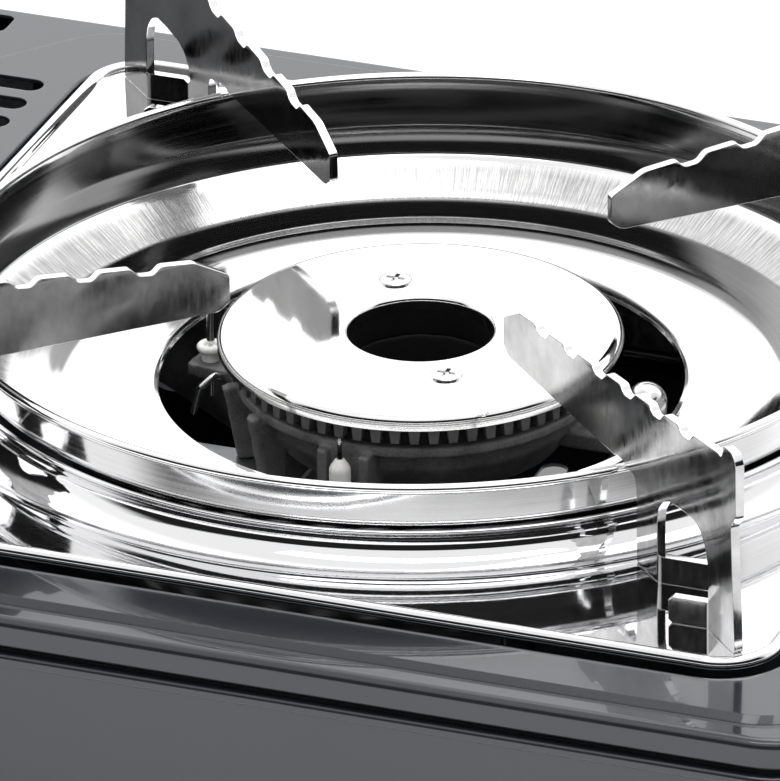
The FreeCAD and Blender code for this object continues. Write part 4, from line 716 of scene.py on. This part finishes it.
def rounded_square(half, corner, z, steps=10):
    """Plan outline of the tray, counter-clockwise, in metres."""
    out = []
    for i, (sx, sy) in enumerate(((1, 1), (-1, 1), (-1, -1), (1, -1))):
        cx = AXIS.x + sx * (half - corner)
        cy = AXIS.y + sy * (half - corner)
        for k in range(steps + 1):
            a = math.radians(90 * i + 90 * k / steps)
            out.append(Vector((cx + corner * math.cos(a), cy + corner * math.sin(a), z)) * MM)
    return out


def filled(name, outer, inner):
    """Flat sheet between two plan outlines at one height."""
    bm = bmesh.new()
    edges = []
    for loop in (outer, inner):
        verts = [bm.verts.new(p) for p in loop]
        for i, v in enumerate(verts):
            edges.append(bm.edges.new((v, verts[(i + 1) % len(verts)])))
    bmesh.ops.triangle_fill(bm, edges=edges, use_beauty=True)
    return finished(bm, name)


TRAY_CORNER = 13.0
TRAY_ROLL = 1.5
COLLAR_R = 100.0
COLLAR_TOP = 80.5
COLLAR_FOOT = 108.6
COLLAR_SWEEP = 8.7
COLLAR_BEAD = 0.55
COLLAR_KNEE = 77.9                              # its wall stands upright above this height


def tray_collar():
    """Raised ring that sweeps up from the tray round the wind guard, with a small bead on top."""
    outer = COLLAR_R + SHEET
    middle = COLLAR_FOOT - 0.2
    bead = arc(outer + 0.15, COLLAR_TOP - COLLAR_BEAD, COLLAR_BEAD, 180, -60, 10)
    wall = [(outer, COLLAR_TOP - 1.6), (outer, COLLAR_KNEE), (outer + 0.03, COLLAR_KNEE - 0.5)]
    sweep = arc(middle, TRAY_TOP + COLLAR_SWEEP, COLLAR_SWEEP, 210, 270, 16)
    shown = bead + wall + sweep + [(COLLAR_FOOT, TRAY_TOP)]
    back = [(COLLAR_FOOT, TRAY_TOP - SHEET)]
    back += arc(middle, TRAY_TOP + COLLAR_SWEEP, COLLAR_SWEEP + SHEET, 270, 210, 16)
    back += [(COLLAR_R, COLLAR_KNEE - 0.7), (COLLAR_R, COLLAR_TOP - 0.4)]
    return lathe("collar", shown + back)


def tray_plate():
    """Flat of the tray between the collar and the rolled edge."""
    circle = []
    for i in range(TURN_STEPS):
        a = 2 * math.pi * i / TURN_STEPS
        spoke = Vector((math.cos(a), math.sin(a), 0)) * COLLAR_FOOT
        circle.append(Vector((AXIS.x + spoke.x, AXIS.y + spoke.y, TRAY_TOP)) * MM)
    square = rounded_square(TRAY_HALF - 2 * TRAY_ROLL + 0.35, TRAY_CORNER - 2, TRAY_TOP)
    drop = Vector((0, 0, SHEET * MM))
    upper = filled("upper", square, circle)
    lower = filled("lower", [p - drop for p in square], [p - drop for p in circle])
    for mesh, up in ((upper, True), (lower, False)):
        for poly in mesh.polygons:
            if (poly.normal.z > 0) != up:
                poly.flip()
    return merged("plate", upper, lower)


def tray_edge():
    """Rolled edge: a round section carried round the rounded square."""
    steps = 12
    centre_line = rounded_square(TRAY_HALF - TRAY_ROLL, TRAY_CORNER - TRAY_ROLL, TRAY_TOP, 16)
    n = len(centre_line)
    verts = []
    faces = []
    for i, p in enumerate(centre_line):
        ahead = centre_line[(i + 1) % n] - centre_line[i - 1]
        out = Vector((ahead.y, -ahead.x, 0)).normalized()
        for k in range(steps):
            a = 2 * math.pi * k / steps
            verts.append(p + (out * math.cos(a) + Vector((0, 0, 1)) * math.sin(a)) * TRAY_ROLL * MM)
            faces.append((i * steps + k, (i + 1) % n * steps + k, (i + 1) % n * steps + (k + 1) % steps,
                          i * steps + (k + 1) % steps))
    return from_parts("edge", verts, faces)


# Pan supports

LEG_THICK = 2.0
LEG_LOW = 91.9
FOOT_IN, FOOT_OUT = 108.5, 154.9
WINDOW_IN, WINDOW_OUT = 118.5, 142.4
TOOTH_START, TOOTH_PITCH, TOOTH_COUNT, TOOTH_DEEP = 52.6, 13.8, 6, 1.8
RISE_START, RISE = 104.3, 0.106


def edge_height(r):
    """Height of the teeth's tips, which rise outward."""
    return RISE_START + RISE * (r - 53.4)


def leg_outline():
    """Blade in the plane through the burner's axis: radius and height."""
    top = [(44.0, 93.5), (44.0, 99.8), (TOOTH_START - 0.6, edge_height(52.0))]
    for i in range(TOOTH_COUNT):
        r = TOOTH_START + i * TOOTH_PITCH
        top.append((r + 7.0, edge_height(r + 7.0)))
        top.append((r + 8.6, edge_height(r + 8.6) - TOOTH_DEEP))
        top.append((r + 12.0, edge_height(r + 12.0) - TOOTH_DEEP))
        top.append((r + TOOTH_PITCH, edge_height(r + TOOTH_PITCH)))
    top += [(147.2, edge_height(147.2)), (148.6, edge_height(148.4) - 0.5)]
    top += [(149.8, LEG_TOP), (154.0, LEG_TOP), (155.5, LEG_TOP - 2.0)]
    top += [(155.5, 103.2), (153.2, 100.4), (FOOT_OUT, TRAY_TOP)]
    window = [(WINDOW_OUT, TRAY_TOP), (WINDOW_OUT, 86.0), (141.2, 90.0), (139.0, 92.6), (136.0, 94.0),
              (131.0, 93.8), (124.6, 93.0), (121.4, 91.6), (119.3, 89.2), (WINDOW_IN, 86.0),
              (WINDOW_IN, TRAY_TOP)]
    low = [(FOOT_IN, TRAY_TOP), (FOOT_IN, 89.2), (107.4, 91.4), (104.4, 91.4), (102.9, 90.6), (102.6, 92.4),
           (98.6, 92.4), (98.2, LEG_LOW), (46.6, LEG_LOW - 0.2)]
    return softened(top + window + low, 0.8, 3)


def leg_blade():
    """Flat blade with eased edges, standing in the X-Z plane with the burner's axis at x = 0."""
    half = LEG_THICK / 2 * MM
    points = [(r * MM, -half, z * MM) for r, z in leg_outline()]
    bm = drawn(points, [range(len(points))])
    grown = bmesh.ops.extrude_face_region(bm, geom=bm.faces[:])
    moved = [g for g in grown["geom"] if isinstance(g, bmesh.types.BMVert)]
    bmesh.ops.translate(bm, verts=moved, vec=(0, 2 * half, 0))
    bmesh.ops.recalc_face_normals(bm, faces=bm.faces)
    eased_edges(bm, [e for e in bm.edges if any(len(f.verts) > 8 for f in e.link_faces)])
    bmesh.ops.triangulate(bm, faces=[f for f in bm.faces if len(f.verts) > 8])
    return finished(bm, "blade")


FLAP_H = 6.1
FLAP_BEND = 2.2
FLAP_CORNER = 0.9
FLAP_TURN = 45.0
BEND_STEPS, RUN_STEPS = 6, 8


def flap_line(length):
    """Middle line of a foot tab in plan, with its heading at each point."""
    turn = math.radians(FLAP_TURN)
    line = []
    for i in range(BEND_STEPS + 1):
        a = turn * i / BEND_STEPS
        line.append((FLAP_BEND * math.sin(a), FLAP_BEND * (1 - math.cos(a)), a))
    end = line[-1]
    for i in range(1, RUN_STEPS + 1):
        run = length * i / RUN_STEPS
        line.append((end[0] + run * math.cos(turn), end[1] + run * math.sin(turn), turn))
    return line


def corner_pull(left):
    """How far the tab's rounded corner draws its edge in, this far from its end."""
    if left >= FLAP_CORNER:
        return 0.0
    return FLAP_CORNER - math.sqrt(max(0.0, FLAP_CORNER ** 2 - (FLAP_CORNER - left) ** 2))


def leg_flap(start, heading, length):
    """Foot tab at the window: leaves the blade's plane through a round bend and runs on flat."""
    centre_line = flap_line(length)
    spin = math.radians(heading)
    verts = []
    faces = []
    total = len(centre_line)
    for i, (u, v, a) in enumerate(centre_line):
        pull = corner_pull(length * (total - 1 - i) / RUN_STEPS)
        nx, ny = -math.sin(a), math.cos(a)
        for side, z in ((-1, pull), (1, pull), (1, FLAP_H - pull), (-1, FLAP_H - pull)):
            x = u + side * nx * LEG_THICK / 2
            y = v + side * ny * LEG_THICK / 2
            px = start + x * math.cos(spin) - y * math.sin(spin)
            py = x * math.sin(spin) + y * math.cos(spin)
            verts.append((px * MM, py * MM, (TRAY_TOP + z) * MM))
        if i:
            for k in range(4):
                m = (k + 1) % 4
                faces.append(((i - 1) * 4 + k, i * 4 + k, i * 4 + m, (i - 1) * 4 + m))
    faces += [(0, 1, 2, 3), tuple((total - 1) * 4 + k for k in (3, 2, 1, 0))]
    bm = drawn(verts, faces)
    bmesh.ops.recalc_face_normals(bm, faces=bm.faces)
    eased_edges(bm, [e for e in bm.edges if e.calc_face_angle(0) > math.radians(60)])
    return finished(bm, "flap")


FLAP_LAP = 0.4                                  # the tabs start this far inside the blade
INNER_FLAP, OUTER_FLAP = 10.4, 8.0


def pan_support(node, degrees):
    inner = leg_flap(WINDOW_IN - FLAP_LAP, 0, INNER_FLAP)
    outer = leg_flap(WINDOW_OUT + FLAP_LAP, 180, OUTER_FLAP)
    mesh = merged(node + "_blade", leg_blade(), inner, outer)
    spot = Matrix.Translation(Vector((AXIS.x, AXIS.y, 0)) * MM)
    mesh.transform(spot @ Matrix.Rotation(math.radians(degrees), 4, "Z"))
    return add(mesh, "tray_assembly", "leg_plate", [node])


# Burner

CAP_BAND = 3.3                                  # height of the cap's turned-down edges
CAP_SHEET = 0.8
CAP_EDGE = 2.2
CAP_HOLE = 15.3
HOLE_EDGE = 1.4


def burner_cap():
    """Pressed cap: flat top, rounded outer edge and a rolled hole."""
    low = CAP_TOP - CAP_BAND
    under = CAP_TOP - CAP_SHEET
    shown = [(CAP_R, low), (CAP_R, CAP_TOP - CAP_EDGE - 0.1)]
    shown += arc(CAP_R - CAP_EDGE, CAP_TOP - CAP_EDGE, CAP_EDGE, 0, 90, 10)
    shown += [(38.0, CAP_TOP), (30.0, CAP_TOP), (22.0, CAP_TOP)]
    shown += arc(CAP_HOLE + HOLE_EDGE, CAP_TOP - HOLE_EDGE, HOLE_EDGE, 90, 180, 8)
    shown += [(CAP_HOLE, low)]
    back = [(CAP_HOLE + CAP_SHEET, low), (CAP_HOLE + CAP_SHEET, CAP_TOP - 1.8), (CAP_HOLE + 1.8, under),
            (CAP_R - 2.5, under), (CAP_R - CAP_SHEET, CAP_TOP - 2.5), (CAP_R - CAP_SHEET, low)]
    return lathe("burner_cap_shell", shown + back)


PORT_R = 41.0
PORT_COUNT = 63
PORT_LOW = 70.6
CORE_R = 15.5
RIM_Z = 69.1


CORE_WALL, PORT_WALL = 2.5, 1.8


def crown():
    """Plate and walls of the port ring, without its teeth."""
    top = CAP_TOP - CAP_BAND - 0.1
    under = top - 1.5
    outside = PORT_R - 3.0
    outline = [(CORE_R, RIM_Z), (CORE_R + CORE_WALL, RIM_Z), (CORE_R + CORE_WALL, under)]
    outline += [(outside - PORT_WALL, under), (outside - PORT_WALL, RIM_Z)]
    outline += [(outside, RIM_Z), (outside, under)]
    outline += [(PORT_R - 0.3, top - 1.2), (PORT_R, top - 0.9), (PORT_R, top), (CORE_R, top)]
    return lathe("crown", softened(outline, 0.2, 2))


def socket(tree, name, kind, default):
    made = tree.interface.new_socket(name, in_out="INPUT", socket_type=kind)
    made.default_value = default
    return made


def teeth_tree():
    """Tapered teeth in a circle, as a node tree with its sizes as inputs."""
    tree = bpy.data.node_groups.new("port_teeth", "GeometryNodeTree")
    tree.interface.new_socket("Geometry", in_out="OUTPUT", socket_type="NodeSocketGeometry")
    socket(tree, "Count", "NodeSocketInt", 8)
    socket(tree, "Radius", "NodeSocketFloat", 0.1)
    tree.interface.new_socket("Tooth", in_out="INPUT", socket_type="NodeSocketObject")
    tree.interface.new_socket("Look", in_out="INPUT", socket_type="NodeSocketMaterial")
    ring = Nodes(tree)
    entry = ring.node("NodeGroupInput").outputs
    circle = ring.node("GeometryNodeMeshCircle")
    ring.link(entry["Count"], circle.inputs["Vertices"])
    ring.link(entry["Radius"], circle.inputs["Radius"])
    x, y = ring.split(ring.node("GeometryNodeInputPosition").outputs[0])[:2]
    spin = ring.node("ShaderNodeCombineXYZ")
    ring.link(ring.math("ARCTAN2", y, x), spin.inputs["Z"])
    tooth = ring.node("GeometryNodeObjectInfo")
    ring.link(entry["Tooth"], tooth.inputs["Object"])
    copies = ring.node("GeometryNodeInstanceOnPoints")
    ring.link(circle.outputs["Mesh"], copies.inputs["Points"])
    ring.link(tooth.outputs["Geometry"], copies.inputs["Instance"])
    ring.link(spin.outputs[0], copies.inputs["Rotation"])
    real = ring.node("GeometryNodeRealizeInstances")
    ring.link(copies.outputs[0], real.inputs[0])
    finish = ring.node("GeometryNodeSetMaterial")
    ring.link(real.outputs[0], finish.inputs["Geometry"])
    ring.link(entry["Look"], finish.inputs["Material"])
    ring.link(finish.outputs[0], ring.node("NodeGroupOutput").inputs[0])
    return tree


def grown_from(tree, **values):
    """Plain mesh that the tree makes from these inputs."""
    holder = put("holder", bpy.data.meshes.new("holder"))
    modifier = holder.modifiers.new("grow", "NODES")
    modifier.node_group = tree
    for item in tree.interface.items_tree:
        if item.item_type == "SOCKET" and item.in_out == "INPUT":
            modifier[item.identifier] = values[item.name.lower()]
    graph = bpy.context.evaluated_depsgraph_get()
    mesh = bpy.data.meshes.new_from_object(holder.evaluated_get(graph))
    holder.modifiers.remove(modifier)
    bpy.data.objects.remove(holder)
    return mesh


TOOTH_LONG = 2.4                                # along the ring's radius
TOOTH_FOOT, TOOTH_ROOT = 0.92, 1.28             # half widths


def tooth_mesh():
    """One hanging tooth, narrower at its foot, its outer face on the ring's radius."""
    verts = []
    for z, half in ((PORT_LOW, TOOTH_FOOT), (CAP_TOP - CAP_BAND - 0.6, TOOTH_ROOT)):
        for x, y in ((-TOOTH_LONG, -half), (0, -half), (0, half), (-TOOTH_LONG, half)):
            verts.append((x * MM, y * MM, z * MM))
    bm = drawn(verts, [(0, 3, 2, 1), (4, 5, 6, 7), (0, 1, 5, 4), (1, 2, 6, 5), (2, 3, 7, 6), (3, 0, 4, 7)])
    eased_edges(bm, bm.edges[:], 0.18)
    return finished(bm, "tooth")


def port_ring():
    """Crown and teeth as one piece."""
    tooth = put("tooth", tooth_mesh())
    look = LOOKS["port_metal"]
    teeth = grown_from(teeth_tree(), count=PORT_COUNT, radius=PORT_R * MM, tooth=tooth, look=look)
    bpy.data.objects.remove(tooth)
    teeth.transform(Matrix.Translation(Vector((AXIS.x, AXIS.y, 0)) * MM))
    return merged("port_crown", crown(), teeth)


SCREW_HEAD_SHARE = 0.45


def low_screws():
    """Cap screws whose heads sit low on the cap."""
    mesh = cad_copy("cap_screws", "cap_screws_skin")
    level = CAP_TOP * MM
    for v in mesh.vertices:
        if v.co.z > level:
            v.co.z = level + (v.co.z - level) * SCREW_HEAD_SHARE
    return mesh


RIM_START, RIM_RUN, RIM_DROP = 64.5, 5.0, 1.7   # the casting's rim is lowered by the drop above the start
COARSE_LUMP, FINE_LUMP = 2.4, 0.9


def rough_cast():
    """The casting with softened corners, a lowered rim and an uneven skin."""
    source = put("casting_source", cad_copy("burner_body", "casting_source"))
    skin_over = source.modifiers.new("skin_over", "REMESH")
    skin_over.mode = "SMOOTH"
    skin_over.octree_depth = 8
    skin_over.scale = 0.95
    skin_over.use_remove_disconnected = False
    ease = source.modifiers.new("ease", "SMOOTH")
    ease.iterations = 3
    ease.factor = 0.5
    thin = source.modifiers.new("thin", "DECIMATE")
    thin.ratio = 0.6
    graph = bpy.context.evaluated_depsgraph_get()
    skin = bpy.data.meshes.new_from_object(source.evaluated_get(graph))
    bpy.data.objects.remove(source)
    skin.name = "burner_casting_skin"
    normals = [v.normal.copy() for v in skin.vertices]
    places = [v.co.copy() for v in skin.vertices]
    moved = []
    for place, out in zip(places, normals):
        rim = min(1.0, max(0.0, (place.z / MM - RIM_START) / RIM_RUN))
        place.z -= RIM_DROP * MM * rim
        lump = noise.noise(place / (COARSE_LUMP * MM)) * 0.07 + noise.noise(place / (FINE_LUMP * MM)) * 0.05
        moved.extend(place + out * (lump - 0.05) * MM)
    skin.vertices.foreach_set("co", moved)
    skin.update()
    return skin


PIN_WIRE = 0.6                                  # radius of the spark pin
SLEEVE_BORE = 0.62
SLEEVE_R = 2.3
SLEEVE_FOOT_R = 2.45
SLEEVE_RING = [(2.45, 48.1), (2.9, 48.3), (2.9, 49.4), (2.45, 49.7)]
SLEEVE_NOSE = [(2.3, 64.0), (2.1, 64.8), (1.4, 65.9), (1.0, 66.4), (0.62, 66.5)]


def standing(node):
    """Middle in plan of an upright node, in mm, and the heights of its ends."""
    low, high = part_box(node)
    return ((low + high) / 2 / MM).xy, low.z / MM, high.z / MM


def spark_sleeve():
    """Ceramic sleeve with a mounting ring and a rounded nose."""
    centre, foot = standing("spark_insulator")[:2]
    outline = [(SLEEVE_BORE, foot), (SLEEVE_R, foot), (SLEEVE_FOOT_R, foot + 0.4)] + SLEEVE_RING
    outline += [(SLEEVE_R, 63.7)] + flowing(SLEEVE_NOSE, 4)
    return lathe("spark_sleeve", outline, centre, 48)


def spark_pin():
    """Wire out of the sleeve, rounded at its tip."""
    centre, foot, tip = standing("spark_electrode")
    outline = [(0, foot), (PIN_WIRE, foot), (PIN_WIRE, tip - 1.6)]
    outline += [(0.45, tip - 0.6), (0.22, tip - 0.1), (0, tip)]
    return lathe("spark_pin", outline, centre, 24)


STUD_FOOT = [(3.6, 56.2), (3.4, 56.4), (2.0, 56.4)]
NUT_LOW = 62.05


def dome():
    """Domed nut on its stud."""
    low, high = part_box("dome_nut")
    r = (high.x - low.x) / 2 / MM
    centre, foot, top = standing("dome_nut")
    outline = [(0, foot), (3.4, foot), (3.6, foot + 0.2)] + STUD_FOOT
    outline += [(2.0, NUT_LOW), (r - 0.2, NUT_LOW), (r, NUT_LOW + 0.25), (r, 68.5)]
    outline += arc(0, top - r, r, 0, 90, 12)[1:]
    return lathe("dome_nut_shell", outline, centre, 48)


# Casing

def casing_piece(node, name, body, look="casing_paint"):
    """A painted sheet of the casing, taken from its solid."""
    mesh = cad_copy(node, name)
    return add(mesh, body, look, [node], 28)


TICKS = 10
TICK_START, TICK_STEP = 45, 15                  # degrees
TICK_IN = 22.2                                  # distance from the knob's axis
SHORT_TICK, LONG_TICK = 1.8, 3.0
TICK_HALF = 0.35
TICK_THICK = 0.08


def dial_marks():
    """Plain ticks round the knob, on the front wall."""
    low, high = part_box("control_knob")
    cx = (low.x + high.x) / 2
    cz = (low.z + high.z) / 2
    wall_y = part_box("base_shell")[0].y + 0.6 * MM - 0.05 * MM
    parts = []
    for i in range(TICKS):
        a = math.radians(TICK_START + TICK_STEP * i)
        out = Vector((math.cos(a), 0, math.sin(a)))
        across = Vector((-math.sin(a), 0, math.cos(a)))
        start = Vector((cx, wall_y, cz)) + out * TICK_IN * MM
        long = (SHORT_TICK if i % 3 else LONG_TICK) * MM
        wide = TICK_HALF * MM
        corners = []
        for d in (0.0, TICK_THICK * MM):
            for u, v in ((0, -wide), (long, -wide), (long, wide), (0, wide)):
                corners.append(start + out * u + across * v - Vector((0, d, 0)))
        faces = [(0, 1, 2, 3), (7, 6, 5, 4), (0, 4, 5, 1), (1, 5, 6, 2), (2, 6, 7, 3), (3, 7, 4, 0)]
        parts.append(from_parts("tick", corners, faces))
    return merged("dial_ticks", *parts)


def smooth_copy(node, body, look, sharp=30.0):
    return add(cad_copy(node, node + "_skin"), body, look, [node], sharp)


add(wind_guard(), "tray_assembly", "guard_chrome", ["wind_guard"], 40)
add(merged("drip_tray_shell", tray_collar(), tray_plate(), tray_edge()), "tray_assembly",
    "chrome_plate", ["drip_tray"], 40)
for node, degrees in (("pan_support_rear_right", 45), ("pan_support_rear_left", 135),
                      ("pan_support_front_left", 225), ("pan_support_front_right", 315)):
    pan_support(node, degrees)
add(burner_cap(), "root", "cap_steel", ["burner_cap"], 40)
add(port_ring(), "root", "port_metal", ["port_ring"], 40)
add(rough_cast(), "root", "burner_casting", ["burner_body"], 60)
add(spark_sleeve(), "root", "white_ceramic", ["spark_insulator"])
add(spark_pin(), "root", "bright_steel", ["spark_electrode"])
add(dome(), "root", "bright_steel", ["dome_nut"])
casing_piece("top_cover", "deck", "root")
casing_piece("base_shell", "tub", "root", "tub_paint")
casing_piece("cartridge_lid", "lid_shell", "lid")
add(dial_marks(), "root", "printed")
smooth_copy("control_knob", "knob", "black_plastic")
smooth_copy("lever_handle", "lever", "black_plastic")
smooth_copy("rubber_feet", "root", "foot_rubber")
add(low_screws(), "root", "bright_steel", ["cap_screws"], 30)
smooth_copy("probe_collar", "root", "white_ceramic")
smooth_copy("probe_pin", "root", "bright_steel")
smooth_copy("probe_clip", "root", "bright_steel")
smooth_copy("gas_pipe", "root", "pipe_aluminium")
smooth_copy("igniter_lead", "root", "lead_sleeve")

SLOT_OF = {s["node"]: s["material_slot"] for s in frame["record"]["subparts"]}
for node, obj in frame["nodes"].items():
    for place in obj.material_slots:
        place.material = LOOKS[SLOT_OF[node]]

bpy.context.scene.view_settings.view_transform = "Standard"
